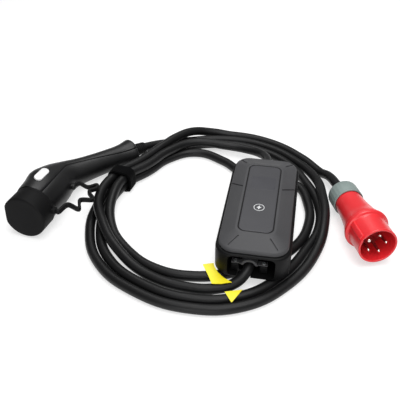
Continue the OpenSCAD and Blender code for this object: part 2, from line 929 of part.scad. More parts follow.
module plug_nut() {
  color("#93a3a0")
    plug()
      difference() {
        union() {
          along_x(8)
            cylinder(h = nut_l - 8, r = nut_r, $fn = 24);
          along_x(0)
            rotate_extrude()
              polygon([[0, 0], [seal_r + 2.5, 0], [nut_r - 2.6, 9], [0, 9]]);
        }
        along_x(-1)
          cylinder(h = 60, r = seal_r + 0.1);
        along_x(nut_l - 10.2)
          cylinder(h = 20, r = 14.1);
        along_x(nut_l - 3)
          cylinder(h = 20, r = 21.4);
      }
}

module plug_seal() {
  color("#2a2a2a")
    plug()
      along_x(0)
        cylinder(h = nut_l, r = seal_r);
}

module charge_cable() {
  color("#323234")
    cable(charge_route, boot_dir, -box_dir);
}

module supply_cable() {
  color("#323234")
    cable(supply_route, -box_dir, plug_dir);
}

// hook-and-loop tie round the four strands on the left of the coil
tie_a = 160;
tie_in = [36, 33];
module cable_tie() {
  r = 157.5;
  color("#161616")
    translate(put(lay([tie_a, r, tie_wall + 0.1 + tie_in[1] / 2])))
      rotate([0, 0, tie_a])
        rotate([90, 0, 0])
          translate([0, 0, -tie_w / 2])
            linear_extrude(tie_w)
              difference() {
                rrect(tie_in[0] + 2 * tie_wall, tie_in[1] + 2 * tie_wall, 9 + tie_wall);
                rrect(tie_in[0], tie_in[1], 9);
              }
}

module cable_tags() {
  color("#fff028") {
    translate(put([0, 0, 17]))
      linear_extrude(0.8)
        polygon([
          [2, -165], [18.6, -157], [18.4, -170], [21.5, -180], [26, -187], [28, -192], [28.4, -198],
          [16, -202.6]]);
    translate(put([0, 0, 15.2]))
      linear_extrude(0.8)
        polygon([[33, -213], [55, -209], [41, -231]]);
  }
}

back_shell();
grip_shell();
shell_screws();
badge();
contact_carrier();
power_contacts();
pilot_contacts();
connector_boot();
dust_cap();
cap_strap();
box_base();
box_lid();
box_gasket();
display_panel();
display_window();
touch_ring();
main_board();
board_screws();
relays();
current_sensor();
power_module();
terminal_block();
lid_screws();
lug_screws();
rear_boot();
front_boot();
plug_sleeve();
plug_insert();
live_pins();
earth_pin();
plug_housing();
plug_nut();
plug_seal();
charge_cable();
supply_cable();
cable_tie();
cable_tags();
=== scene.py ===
"""Dresses the portable car charging set: stage, cables, connector, control box, mains plug, tie and tags."""

from __future__ import annotations

import json
import logging
import math
from dataclasses import dataclass, field
from enum import Enum
from typing import Any, Iterable, Sequence

import bmesh
import bpy
from mathutils import Matrix, Vector

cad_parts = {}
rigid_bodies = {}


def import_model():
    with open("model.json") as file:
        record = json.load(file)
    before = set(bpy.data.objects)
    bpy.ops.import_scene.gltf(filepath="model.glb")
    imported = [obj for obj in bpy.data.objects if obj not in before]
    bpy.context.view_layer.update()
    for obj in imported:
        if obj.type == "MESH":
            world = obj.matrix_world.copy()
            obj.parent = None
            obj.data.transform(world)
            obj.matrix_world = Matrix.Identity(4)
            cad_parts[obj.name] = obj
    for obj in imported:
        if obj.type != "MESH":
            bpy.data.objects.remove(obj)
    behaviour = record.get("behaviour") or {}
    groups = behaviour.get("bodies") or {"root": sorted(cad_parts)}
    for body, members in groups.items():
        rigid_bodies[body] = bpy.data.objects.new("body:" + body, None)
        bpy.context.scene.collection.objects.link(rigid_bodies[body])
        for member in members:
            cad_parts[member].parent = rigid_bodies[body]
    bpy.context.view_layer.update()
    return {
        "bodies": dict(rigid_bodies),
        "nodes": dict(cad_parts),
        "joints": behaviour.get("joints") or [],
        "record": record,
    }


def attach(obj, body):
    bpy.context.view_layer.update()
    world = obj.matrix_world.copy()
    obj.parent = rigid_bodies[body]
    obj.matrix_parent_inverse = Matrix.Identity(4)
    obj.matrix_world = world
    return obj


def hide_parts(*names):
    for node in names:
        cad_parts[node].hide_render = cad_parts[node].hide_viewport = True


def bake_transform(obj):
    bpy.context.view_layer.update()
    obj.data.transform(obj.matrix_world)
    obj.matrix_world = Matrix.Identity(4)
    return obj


LOG = logging.getLogger("charging_set")
Point = tuple[float, float, float]
Flat = tuple[float, float]
Ring = list[Point]
# corner of a profile: distance along the axis, radius, and a rounding where it has one
Corner = tuple[float, ...]

# sizes are in millimetres and angles in degrees unless a line says otherwise
MM = 0.001
METRE = 1000.0
SET, CAP = "set", "cap"
# the layout's own origin in the part's frame, and the middle of the coil, in millimetres
SHIFT = Vector((66.89, 31.68, 0.0))
COIL = Vector((20.0, -20.0, 0.0))
CABLE_R = 7.5
# radius of every cable boot at its tip
BOOT_TIP_R = CABLE_R + 2.0


# Finishes


def linear(colour: str) -> tuple[float, float, float, float]:
    """Turns an sRGB hex colour into linear values.

    Args:
        colour: six hex digits after a hash sign.

    Returns:
        Red, green, blue and alpha for a colour socket.
    """
    parts = [int(colour[i:i + 2], 16) / 255 for i in (1, 3, 5)]
    r, g, b = (c / 12.92 if c <= 0.04045 else ((c + 0.055) / 1.055) ** 2.4 for c in parts)
    return r, g, b, 1.0


def add_node(tree: bpy.types.NodeTree, kind: str, inputs: dict[Any, Any] | None = None,
             **settings: Any) -> bpy.types.Node:
    """Adds a node with its settings, its socket values and its links.

    Args:
        tree: the node tree to add to.
        kind: Blender's name of the node type.
        inputs: value or source socket for each input, by name or number.
        **settings: properties of the node itself.

    Returns:
        The new node.
    """
    node = tree.nodes.new(kind)
    for key, value in settings.items():
        setattr(node, key, value)
    for key, value in (inputs or {}).items():
        if isinstance(value, bpy.types.NodeSocket):
            tree.links.new(value, node.inputs[key])
        else:
            node.inputs[key].default_value = value
    return node


class Pattern(Enum):
    """How a surface was made, which decides the relief that its finish draws."""

    GRAIN = "spark-eroded mould grain"
    SHEATH = "drawn cable sheath"
    PILE = "hook-and-loop pile"
    PLATED = "turned and plated metal"
    FILM = "smooth film"


@dataclass(frozen=True)
class Finish:
    """A real material with its colour, its gloss and its fine relief."""

    name: str
    colour: str
    shade: str
    roughness: float
    spread: float
    grain_mm: float
    relief_mm: float
    patch_mm: float = 45.0
    pattern: Pattern = Pattern.GRAIN
    metallic: float = 0.0
    ior: float = 1.5
    specular: float = 0.5
    coat: float = 0.0
    sheen: float = 0.0

    def build(self) -> bpy.types.Material:
        """Makes the node material.

        Returns:
            A material that reads Object coordinates in metres.
        """
        material = bpy.data.materials.new(self.name)
        material.use_nodes = True
        tree = material.node_tree
        tree.nodes.clear()
        where = add_node(tree, "ShaderNodeTexCoord").outputs["Object"]
        stretch = (1.0, 1.0, 0.12) if self.pattern is Pattern.PLATED else (1.0, 1.0, 1.0)
        mapped = add_node(tree, "ShaderNodeMapping", {"Vector": where, "Scale": stretch}).outputs["Vector"]
        patch = add_node(tree, "ShaderNodeTexNoise",
                         {"Vector": where, "Scale": METRE / self.patch_mm, "Detail": 3.0, "Roughness": 0.6})
        tint = add_node(tree, "ShaderNodeMapRange",
                        {"Value": patch.outputs["Fac"], "From Min": 0.32, "From Max": 0.68})
        mixed = add_node(tree, "ShaderNodeMix", {"Factor": tint.outputs["Result"], 6: linear(self.colour),
                                                 7: linear(self.shade)}, data_type="RGBA")
        gloss = add_node(tree, "ShaderNodeMapRange",
                         {"Value": patch.outputs["Fac"], "From Min": 0.3, "From Max": 0.7,
                          "To Min": self.roughness - self.spread, "To Max": self.roughness + self.spread})
        height = self._height(tree, mapped)
        bump = add_node(tree, "ShaderNodeBump",
                        {"Height": height, "Distance": self.relief_mm * MM, "Strength": 1.0})
        shader = add_node(tree, "ShaderNodeBsdfPrincipled",
                          {"Base Color": mixed.outputs[2], "Roughness": gloss.outputs["Result"],
                           "Normal": bump.outputs["Normal"], "Metallic": self.metallic, "IOR": self.ior,
                           "Specular IOR Level": self.specular,
                           "Coat Weight": self.coat, "Coat Roughness": 0.12, "Sheen Weight": self.sheen,
                           "Sheen Roughness": 0.4})
        add_node(tree, "ShaderNodeOutputMaterial", {"Surface": shader.outputs["BSDF"]})
        return material

    def _height(self, tree: bpy.types.NodeTree, where: bpy.types.NodeSocket) -> bpy.types.NodeSocket:
        """Draws the fine relief.

        Args:
            tree: the material's node tree.
            where: the coordinates to draw on.

        Returns:
            The socket that carries the height.
        """
        scale = METRE / self.grain_mm
        if self.pattern is Pattern.PILE:
            loops = add_node(tree, "ShaderNodeTexVoronoi",
                             {"Vector": where, "Scale": scale, "Randomness": 0.85})
            fuzz = add_node(tree, "ShaderNodeTexNoise",
                            {"Vector": where, "Scale": scale * 2.3, "Detail": 4.0})
            return add_node(tree, "ShaderNodeMath", {0: loops.outputs["Distance"], 1: fuzz.outputs["Fac"]},
                            operation="ADD").outputs[0]
        detail = 1.0 if self.pattern in (Pattern.SHEATH, Pattern.FILM) else 4.0
        return add_node(tree, "ShaderNodeTexNoise",
                        {"Vector": where, "Scale": scale, "Detail": detail, "Roughness": 0.55}).outputs["Fac"]


class Finishes:
    """Every finish of the set, each built once and kept by its field name.

    Mould grain of 0.2 to 0.4 mm is too fine for the picture and is drawn at 1 to 2 mm.
    """

    # glass-filled nylon, moulded in a spark-eroded tool: black, dry, with a broad soft highlight
    shell = Finish("Handle nylon, spark-eroded", "#0c0c0d", "#101011", 0.42, 0.05, 1.2, 0.05, specular=0.42)
    # thermoplastic rubber of the dust cap: dead black with hardly any highlight
    cap_rubber = Finish("Cap rubber, moulded", "#0a0a0b", "#0e0e0f", 0.66, 0.06, 1.4, 0.04, specular=0.16)
    # glass-filled nylon of the box's two boots and of the clamp in the bay, dry: its own charcoal is painted
    # up to a mid grey, painted light that stands in for the highlight on the front collar and lifts them out
    # of the bay's shade
    gland_painted_light = Finish("Gland nylon, moulded", "#525254", "#58585a", 0.5, 0.05, 1.4, 0.04, specular=0.3)
    # soft rubber of the strap, the connector's boot and the seals: black with a faint bloom
    soft_rubber = Finish("Soft rubber, moulded", "#09090a", "#0d0d0e", 0.6, 0.08, 1.6, 0.05,
                         sheen=0.05, specular=0.2)
    # polyurethane sheath, drawn and slightly uneven: satin black with long soft highlights
    sheath = Finish("Cable sheath polyurethane, drawn", "#0c0c0d", "#101011", 0.45, 0.05, 5.0, 0.05,
                    patch_mm=70.0, pattern=Pattern.SHEATH, specular=0.28)
    # polycarbonate blend of the lid with a fine matte grain: graphite grey, slightly cool
    lid = Finish("Lid polycarbonate, fine matte grain", "#434345", "#48484a", 0.55, 0.05, 1.3, 0.05,
                 specular=0.3)
    # printed polyester foil on the panel: same grey, smoother and a little cooler
    panel = Finish("Panel polyester foil", "#434346", "#47474a", 0.42, 0.04, 2.5, 0.012,
                   pattern=Pattern.FILM, specular=0.2)
    # tinted polycarbonate over the display: a grey close to the foil's, with a dull reflection
    window = Finish("Display window polycarbonate, tinted", "#414145", "#454549", 0.4, 0.03, 3.0, 0.006,
                    pattern=Pattern.FILM, specular=0.2)
    # screen print of the touch mark: chalky light grey
    print_grey = Finish("Touch mark ink, screen printed", "#d2d3d4", "#dedfe0", 0.55, 0.04, 0.9, 0.01,
                        pattern=Pattern.FILM)
    # black polycarbonate of the base with a satin skin
    base = Finish("Base polycarbonate, satin", "#0a0a0b", "#0e0e0f", 0.5, 0.05, 1.6, 0.04, specular=0.14)
    # signal-red polyamide of the plug: saturated, satin, a little waxy
    plug_red = Finish("Plug polyamide, signal red", "#e6262d", "#ec3037", 0.33, 0.05, 1.4, 0.03,
                      coat=0.1, specular=0.6)
    # contact insert down in the sleeve: the plug's red polyamide painted a deeper red, which is painted shade
    # of the deep sleeve
    insert_red_painted_shade = Finish("Contact insert polyamide, dark red", "#941a1f", "#a11f25", 0.5, 0.05, 1.4, 0.03)
    # grey-green polyamide of the compression nut, moulded and dry
    nut_grey = Finish("Nut polyamide, grey", "#7f8c89", "#899693", 0.5, 0.06, 1.5, 0.05, specular=0.35)
    # nickel-plated brass pins: pale and bright
    nickel = Finish("Pin brass, nickel plated", "#d9d7d0", "#e6e4dd", 0.2, 0.05, 0.8, 0.008, patch_mm=9.0,
                    pattern=Pattern.PLATED, metallic=1.0)
    # zinc-plated steel screws: bright grey metal
    zinc = Finish("Screw steel, zinc plated", "#e2e4e6", "#eceeef", 0.5, 0.06, 0.8, 0.01, patch_mm=5.0,
                  pattern=Pattern.PLATED, metallic=1.0)
    # turned brass sockets of the nose: warm metal
    brass = Finish("Contact brass, turned", "#c9a24a", "#d3ae5c", 0.28, 0.06, 0.9, 0.01, patch_mm=6.0,
                   pattern=Pattern.PLATED, metallic=1.0)
    # glossy domed label resin of the blank badge: clean white
    badge = Finish("Badge resin, blank white", "#f1f1f2", "#f6f6f6", 0.3, 0.03, 2.0, 0.01,
                   pattern=Pattern.FILM)
    # woven nylon with loop pile: black that drinks the light
    pile = Finish("Tie nylon, loop pile", "#060607", "#0b0b0c", 0.92, 0.04, 1.1, 0.25, patch_mm=12.0,
                  pattern=Pattern.PILE, sheen=0.03, specular=0.05)
    # blank polyethylene tags: strong yellow film
    film = Finish("Tag polyethylene, yellow", "#f7e413", "#fbee2a", 0.42, 0.05, 3.5, 0.05, patch_mm=18.0,
                  pattern=Pattern.FILM)
    # glass-fibre board with green solder mask, inside the box
    board = Finish("Board glass fibre, solder mask", "#245a33", "#2c683b", 0.35, 0.05, 1.2, 0.02)
    # moulded epoxy cases of the parts on the board
    epoxy = Finish("Component epoxy, moulded", "#26282c", "#2f3237", 0.55, 0.05, 1.2, 0.03)

    _made: dict[str, bpy.types.Material] = {}

    @classmethod
    def get(cls, name: str) -> bpy.types.Material:
        """Gives a finish's material, and builds it the first time.

        Args:
            name: the field name of the finish.

        Returns:
            The material.
        """
        if name not in cls._made:
            cls._made[name] = getattr(cls, name).build()
        return cls._made[name]


# Modelling with operators


def object_mode() -> None:
    """Leaves edit mode and deselects everything."""
    if bpy.context.object is not None and bpy.context.object.mode != "OBJECT":
        bpy.ops.object.mode_set(mode="OBJECT")
    bpy.ops.object.select_all(action="DESELECT")


def activate(piece: bpy.types.Object) -> None:
    """Selects one piece alone and makes it active.

    Args:
        piece: the piece to work on.
    """
    object_mode()
    piece.select_set(True)
    bpy.context.view_layer.objects.active = piece


def tidy(piece: bpy.types.Object, merge: float = 1e-4) -> None:
    """Merges doubles and turns the normals outwards.

    Args:
        piece: the mesh piece.
        merge: the distance under which points become one.
    """
    activate(piece)
    bpy.ops.object.mode_set(mode="EDIT")
    bpy.ops.mesh.select_all(action="SELECT")
    bpy.ops.mesh.remove_doubles(threshold=merge)
    bpy.ops.mesh.normals_make_consistent(inside=False)
    object_mode()


def rounded(spot: Sequence[float]) -> tuple[float, ...]:
    """Gives a point to four decimals."""
    return tuple(round(c, 4) for c in spot)


def loft(name: str, rings: Sequence[Ring], ends: bool = True) -> bpy.types.Object:
    """Extrudes a circle ring by ring through a run of sections.

    Args:
        name: the piece's name.
        rings: sections with the same number of points, in order.
        ends: whether the first and the last section are filled.

    Returns:
        The mesh piece.
    """
    object_mode()
    bpy.ops.mesh.primitive_circle_add(vertices=len(rings[0]), radius=1.0)
    piece = bpy.context.object
    piece.name = name
    piece.data.name = name
    bpy.ops.object.mode_set(mode="EDIT")
    bpy.ops.mesh.select_all(action="SELECT")
    mesh = bmesh.from_edit_mesh(piece.data)
    for vert, spot in zip(list(mesh.verts), rings[0]):
        vert.co = spot
    if ends:
        bpy.ops.mesh.edge_face_add()
        bpy.ops.mesh.duplicate()
        mesh = bmesh.from_edit_mesh(piece.data)
        bmesh.ops.delete(mesh, geom=[f for f in mesh.faces if f.select], context="FACES_ONLY")
        for edge in mesh.edges:
            if edge.is_wire:
                edge.select_set(True)
    for before, after in zip(rings, rings[1:]):
        bpy.ops.mesh.extrude_region()
        mesh = bmesh.from_edit_mesh(piece.data)
        at = {rounded(Vector(p)): Vector(q) for p, q in zip(before, after)}
        for vert in mesh.verts:
            if vert.select:
                vert.co = at[rounded(vert.co)]
        bmesh.update_edit_mesh(piece.data)
    if ends:
        bpy.ops.mesh.edge_face_add()
    object_mode()
    tidy(piece)
    return piece


def fillet(profile: Sequence[Corner], steps: int = 4) -> list[Flat]:
    """Rounds the corners of a profile.

    Args:
        profile: corner points (x, r), each with a rounding radius as an optional third number.
        steps: points in each rounding.

    Returns:
        The rounded profile.
    """
    out: list[Flat] = []
    last = len(profile) - 1
    nearly_half = 0.49
    for i, corner in enumerate(profile):
        here = Vector(corner[:2])
        if i in (0, last) or len(corner) < 3:
            out.append((here.x, here.y))
            continue
        to_a, to_b = Vector(profile[i - 1][:2]) - here, Vector(profile[i + 1][:2]) - here
        reach = min(corner[2], nearly_half * to_a.length, nearly_half * to_b.length)
        a, b = here + to_a.normalized() * reach, here + to_b.normalized() * reach
        for k in range(steps + 1):
            t = k / steps
            spot = a * (1 - t) ** 2 + here * 2 * t * (1 - t) + b * t ** 2
            out.append((spot.x, spot.y))
    return out


def lathe(name: str, profile: Sequence[Flat], steps: int = 72) -> bpy.types.Object:
    """Spins a profile about the X axis.

    Args:
        name: the piece's name.
        profile: points (x, radius).
        steps: faces round the axis.

    Returns:
        The mesh piece.
    """
    object_mode()
    seam = 2e-3
    mesh = bpy.data.meshes.new(name)
    runs = [(i, i + 1) for i in range(len(profile) - 1)]
    mesh.from_pydata([(x, 0.0, r) for x, r in profile], runs, [])
    piece = bpy.data.objects.new(name, mesh)
    bpy.context.collection.objects.link(piece)
    activate(piece)
    bpy.ops.object.mode_set(mode="EDIT")
    bpy.ops.mesh.select_all(action="SELECT")
    bpy.ops.mesh.spin(steps=steps, angle=math.tau, center=(0, 0, 0), axis=(1, 0, 0))
    object_mode()
    tidy(piece, seam)
    return piece


def block(name: str, low: Point, high: Point, bevel: float, segments: int = 3) -> bpy.types.Object:
    """Makes a block with rounded edges.

    Args:
        name: the piece's name.
        low: lowest corner.
        high: highest corner.
        bevel: rounding of the edges.
        segments: faces in each rounding.

    Returns:
        The mesh piece.
    """
    object_mode()
    middle = (Vector(low) + Vector(high)) / 2
    bpy.ops.mesh.primitive_cube_add(size=1.0, location=middle)
    piece = bpy.context.object
    piece.name = name
    piece.scale = Vector(high) - Vector(low)
    bpy.ops.object.transform_apply(location=True, rotation=True, scale=True)
    bpy.ops.object.mode_set(mode="EDIT")
    bpy.ops.mesh.select_all(action="SELECT")
    bpy.ops.mesh.bevel(offset=bevel, segments=segments, affect="EDGES")
    object_mode()
    return piece


def combine(piece: bpy.types.Object, others: Iterable[bpy.types.Object], operation: str) -> bpy.types.Object:
    """Cuts other pieces out of a piece, or unites it with them.

    Args:
        piece: the piece that stays.
        others: the pieces that go.
        operation: DIFFERENCE or UNION.

    Returns:
        The piece.
    """
    for other in others:
        activate(piece)
        step = piece.modifiers.new("step", "BOOLEAN")
        step.operation = operation
        step.solver = "EXACT"
        step.object = other
        bpy.ops.object.modifier_apply(modifier=step.name)
        bpy.data.objects.remove(other, do_unlink=True)
    return piece


def join(piece: bpy.types.Object, others: Iterable[bpy.types.Object]) -> bpy.types.Object:
    """Joins other pieces into a piece.

    Args:
        piece: the piece that stays.
        others: the pieces that become part of it.

    Returns:
        The piece.
    """
    activate(piece)
    for other in others:
        other.select_set(True)
    bpy.ops.object.join()
    return piece


def move(piece: bpy.types.Object, where: Matrix) -> bpy.types.Object:
    """Moves a piece and applies the transform to its mesh.

    Args:
        piece: the mesh piece.
        where: the transform from its old place to its new one.

    Returns:
        The piece.
    """
    activate(piece)
    piece.matrix_world = where
    bpy.ops.object.transform_apply(location=True, rotation=True, scale=True)
    return piece


def place(piece: bpy.types.Object, where: Matrix) -> bpy.types.Object:
    """Puts a piece drawn in millimetres where it lies, in metres."""
    return move(piece, Matrix.Scale(MM, 4) @ where)


def copies(piece: bpy.types.Object, spots: Sequence[Matrix]) -> list[bpy.types.Object]:
    """Moves a piece to the first of several places, and copies of it to the others.

    Args:
        piece: the piece, modelled once.
        spots: the transform to each place.

    Returns:
        The pieces in the order of their places, each with its own mesh.
    """
    twins = [piece]
    for _ in spots[1:]:
        twin = piece.copy()
        twin.data = piece.data.copy()
        bpy.context.collection.objects.link(twin)
        twins.append(twin)
    return [move(twin, spot) for twin, spot in zip(twins, spots)]


def turned(degrees: float, axis: str) -> Matrix:
    """Gives a turn about an axis."""
    return Matrix.Rotation(math.radians(degrees), 4, axis)


@dataclass(frozen=True)
class Dress:
    """What a finished piece gets: its material, its body and the solids it stands for, and a slot name that
    is not used.
    """

    finish: str
    slot: str
    nodes: tuple[str, ...] = ()
    body: str | None = SET
    smooth_deg: float = 32.0

    def put_on(self, piece: bpy.types.Object) -> bpy.types.Object:
        """Shades a piece, gives it its material and ties it to its body.

        Args:
            piece: the finished mesh or curve.

        Returns:
            The piece.
        """
        if piece.type == "MESH":
            activate(piece)
            bpy.ops.object.shade_smooth_by_angle(angle=math.radians(self.smooth_deg))
        piece.data.materials.clear()
        piece.data.materials.append(Finishes.get(self.finish))
        if self.body is not None:
            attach(piece, self.body)
        if self.nodes:
            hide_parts(*self.nodes)
        LOG.info("piece %s", piece.name)
        return piece


def rounded_rectangle(w: float, l: float, r: float, y: float, z: float, steps: int = 8) -> Ring:
    """Gives the ring of a rounded rectangle that lies flat.

    Args:
        w: width along X.
        l: length along Y.
        r: corner radius.
        y: place of its middle along Y.
        z: height.
        steps: faces in each corner.

    Returns:
        The ring, turning left.
    """
    ring: Ring = []
    for sx, sy, first in ((1, 1, 0), (-1, 1, 90), (-1, -1, 180), (1, -1, 270)):
        for i in range(steps + 1):
            a = math.radians(first + 90 * i / steps)
            ring.append((sx * (w / 2 - r) + r * math.cos(a), y + sy * (l / 2 - r) + r * math.sin(a), z))
    return ring


def smooth_path(points: Sequence[Vector], steps: int) -> list[Vector]:
    """Runs a smooth line through points.

    Args:
        points: the points it passes.
        steps: pieces in each stretch.

    Returns:
        The points of the line.
    """
    out: list[Vector] = []
    ends = [points[0] * 2 - points[1], *points, points[-1] * 2 - points[-2]]
    for a, b, c, d in zip(ends, ends[1:], ends[2:], ends[3:]):
        for k in range(steps):
            t = k / steps
            out.append(0.5 * (2 * b + (c - a) * t + (2 * a - 5 * b + 4 * c - d) * t ** 2
                              + (3 * b - a - 3 * c + d) * t ** 3))
    out.append(points[-1].copy())
    return out


@dataclass(frozen=True)
class Ribs:
    """Row of ribs on a cable boot, each a little lower than the one before."""

    count: int
    first_x: float
    pitch: float
    height: float
    fall: float
    width: float
    valley: Flat

    def corners(self, tip: float) -> list[Corner]:
        """Gives the ribs' part of a boot's profile.

        Args:
            tip: radius of the boot at its tip.

        Returns:
            The corners of all ribs, in order.
        """
        out: list[Corner] = []
        for i in range(self.count):
            x, r = self.first_x + self.pitch * i, tip + self.height - self.fall * i
            back = x + self.width
            out += [(x, r, 0.4), (back, r - 0.1, 0.4),
                    (back + 0.3, r - self.valley[0], 0.3), (back + 1.3, r - self.valley[1], 0.3)]
        return out


# Stage


@dataclass(frozen=True)
class Softbox:
    """Square studio lamp: its place and its side in metres, its power in watts."""

    name: str
    at: Point
    side: float
    watts: float


@dataclass
class Stage:
    """Camera at the photograph's angle, a white floor and soft studio light."""

    target: Vector = field(default_factory=lambda: SHIFT * MM)
    back_mm: float = 780.0
    up_mm: float = 609.5
    lens_mm: float = 55.35
    sensor_mm: float = 36.0
    floor_size: float = 9.0
    floor_drop: float = 0.0004
    paper: float = 0.48
    glow: float = 0.62
    sky_light: float = 0.22
    lamps: tuple[Softbox, ...] = (Softbox("key_softbox", (0.3, -0.45, 1.5), 1.2, 20.0),
                                  Softbox("rear_softbox", (0.1, 0.8, 1.5), 0.9, 10.5),
                                  Softbox("front_fill", (-0.15, -1.35, 0.3), 0.7, 5.0))

    def build(self) -> None:
        """Makes the camera, the floor, the lamps and the sky."""
        self._camera()
        self._floor()
        for box in self.lamps:
            self._lamp(box)
        self._sky()
        bpy.context.scene.view_settings.view_transform = "Standard"

    def _camera(self) -> None:
        """Stands the camera in front of the set, looking down at the middle of the coil."""
        data = bpy.data.cameras.new("camera")
        data.lens = self.lens_mm
        data.sensor_width = self.sensor_mm
        camera = bpy.data.objects.new("camera", data)
        bpy.context.collection.objects.link(camera)
        camera.location = self.target + Vector((0.0, -self.back_mm, self.up_mm)) * MM
        camera.rotation_euler = (math.radians(90.0) - math.atan2(self.up_mm, self.back_mm), 0.0, 0.0)
        bpy.context.scene.camera = camera

    def _floor(self) -> None:
        """Lays a white floor that keeps a soft shadow and reads white where nothing shades it."""
        object_mode()
        spot = (self.target.x, self.target.y, -self.floor_drop)
        bpy.ops.mesh.primitive_plane_add(size=self.floor_size, location=spot)
        floor = bpy.context.object
        floor.name = "studio_floor"
        material = bpy.data.materials.new("Studio floor, white paper")
        material.use_nodes = True
        tree = material.node_tree
        tree.nodes.clear()
        path = add_node(tree, "ShaderNodeLightPath")
        seen = add_node(tree, "ShaderNodeMath",
                        {0: path.outputs["Is Camera Ray"], 1: path.outputs["Is Glossy Ray"]},
                        operation="MAXIMUM")
        seen = add_node(tree, "ShaderNodeMath", {0: seen.outputs[0], 1: path.outputs["Is Transmission Ray"]},
                        operation="MAXIMUM")
        lift = add_node(tree, "ShaderNodeMath", {0: seen.outputs[0], 1: self.glow}, operation="MULTIPLY")
        paper = add_node(tree, "ShaderNodeBsdfDiffuse", {"Color": (self.paper, self.paper, self.paper, 1.0)})
        glow = add_node(tree, "ShaderNodeEmission", {"Strength": lift.outputs[0]})
        both = add_node(tree, "ShaderNodeAddShader", {0: paper.outputs[0], 1: glow.outputs[0]})
        add_node(tree, "ShaderNodeOutputMaterial", {"Surface": both.outputs[0]})
        floor.data.materials.append(material)

    def _lamp(self, box: Softbox) -> None:
        """Hangs a softbox that faces the middle of the set.

        Args:
            box: the lamp's name, place, side and power.
        """
        data = bpy.data.lights.new(box.name, "AREA")
        data.size = box.side
        data.energy = box.watts
        lamp = bpy.data.objects.new(box.name, data)
        bpy.context.collection.objects.link(lamp)
        lamp.location = box.at
        lamp.rotation_euler = (self.target - Vector(box.at)).to_track_quat("-Z", "Y").to_euler()

    def _sky(self) -> None:
        """Gives an even white surround that lights softly and looks white where it is seen."""
        world = bpy.data.worlds.new("studio_surround")
        bpy.context.scene.world = world
        world.use_nodes = True
        tree = world.node_tree
        tree.nodes.clear()
        path = add_node(tree, "ShaderNodeLightPath")
        level = add_node(tree, "ShaderNodeMapRange",
                         {"Value": path.outputs["Is Camera Ray"], "To Min": self.sky_light, "To Max": 1.0})
        sky = add_node(tree, "ShaderNodeBackground",
                       {"Color": (1.0, 1.0, 1.0, 1.0), "Strength": level.outputs["Result"]})
        add_node(tree, "ShaderNodeOutputWorld", {"Surface": sky.outputs[0]})


# Cables


# points of the coil: angle about its middle in degrees, radius and height in millimetres
CHARGE_COIL: tuple[Point, ...] = (
    (120, 189, 13.5), (110, 188.5, 9),
    (100, 188, 7.5), (80, 190.5, 7.5), (60, 191, 7.5), (40, 187, 8), (20, 180.5, 13.8), (0, 171.2, 22.9),
    (-20, 175.5, 23), (-40, 187, 14), (-60, 200.5, 7.5), (-80, 217, 7.5), (-100, 220, 7.5),
    (-120, 216, 7.5), (-140, 210.5, 7.5), (-160, 196, 7.5), (-180, 180, 8), (-200, 166.5, 9.7),
    (-220, 155, 8),
    (120, 165, 7.5), (100, 172, 7.5), (80, 174.5, 7.5), (60, 174.5, 7.5), (40, 171, 7.5),
    (20, 164.5, 7.5), (0, 166, 7.5), (-20, 169, 7.5), (-40, 170.5, 7.5), (-60, 183.5, 7.5),
    (-80, 200, 7.5), (-100, 204, 7.5), (-120, 200, 7.5), (-140, 194.5, 7.5), (-160, 179.6, 7.5),
    (-180, 163.4, 8), (-200, 150, 9.7), (-220, 138.5, 8),
    (120, 147, 7.5), (100, 148, 7.5), (80, 121, 7.5), (60, 101, 7.5), (40, 114, 7.5), (20, 146, 7.5),
    (0, 150, 7.5), (-20, 152.5, 7.5), (-40, 154, 7.5), (-60, 151, 7.5), (-80, 154, 7.5),
    (-100, 162, 7.5), (-120, 166.5, 7.5), (-140, 164, 7.5), (-160, 163, 13), (-180, 156, 23.4),
    (-200, 149, 25.1), (-220, 138, 23.5),
    (120, 148, 23), (100, 162, 20.5), (80, 156, 17),
)
SUPPLY_COIL: tuple[Point, ...] = (
    (-100, 184.5, 7.5), (-120, 182, 8), (-140, 178, 16), (-160, 175.5, 23.2), (-180, 177, 23.7),
    (-200, 166.5, 25.2), (-220, 155, 23.6), (120, 166, 25), (110, 179.5, 25.5), (100, 194.5, 23),
    (90, 205, 13.5),
    (80, 207, 7.5), (60, 207, 7.5), (40, 203, 7.5), (25, 200.5, 9),
)


def in_metres(spots: Iterable[Vector]) -> list[Point]:
    """Turns points of the part from millimetres into metres, to four decimals."""
    return [rounded(spot * MM) for spot in spots]


def from_layout(spots: Iterable[Sequence[float]]) -> list[Point]:
    """Turns points of the layout, in millimetres, into points of the part, in metres."""
    return in_metres(Vector(spot) + SHIFT for spot in spots)


def around_coil(turns: Iterable[Point]) -> list[Point]:
    """Works out the points of a coil.

    Args:
        turns: angle, radius and height of each point.

    Returns:
        The points of the part, in metres.
    """
    spots = []
    for degrees, radius, height in turns:
        angle = math.radians(degrees)
        spots.append(COIL + Vector((radius * math.cos(angle), radius * math.sin(angle), height)))
    return from_layout(spots)


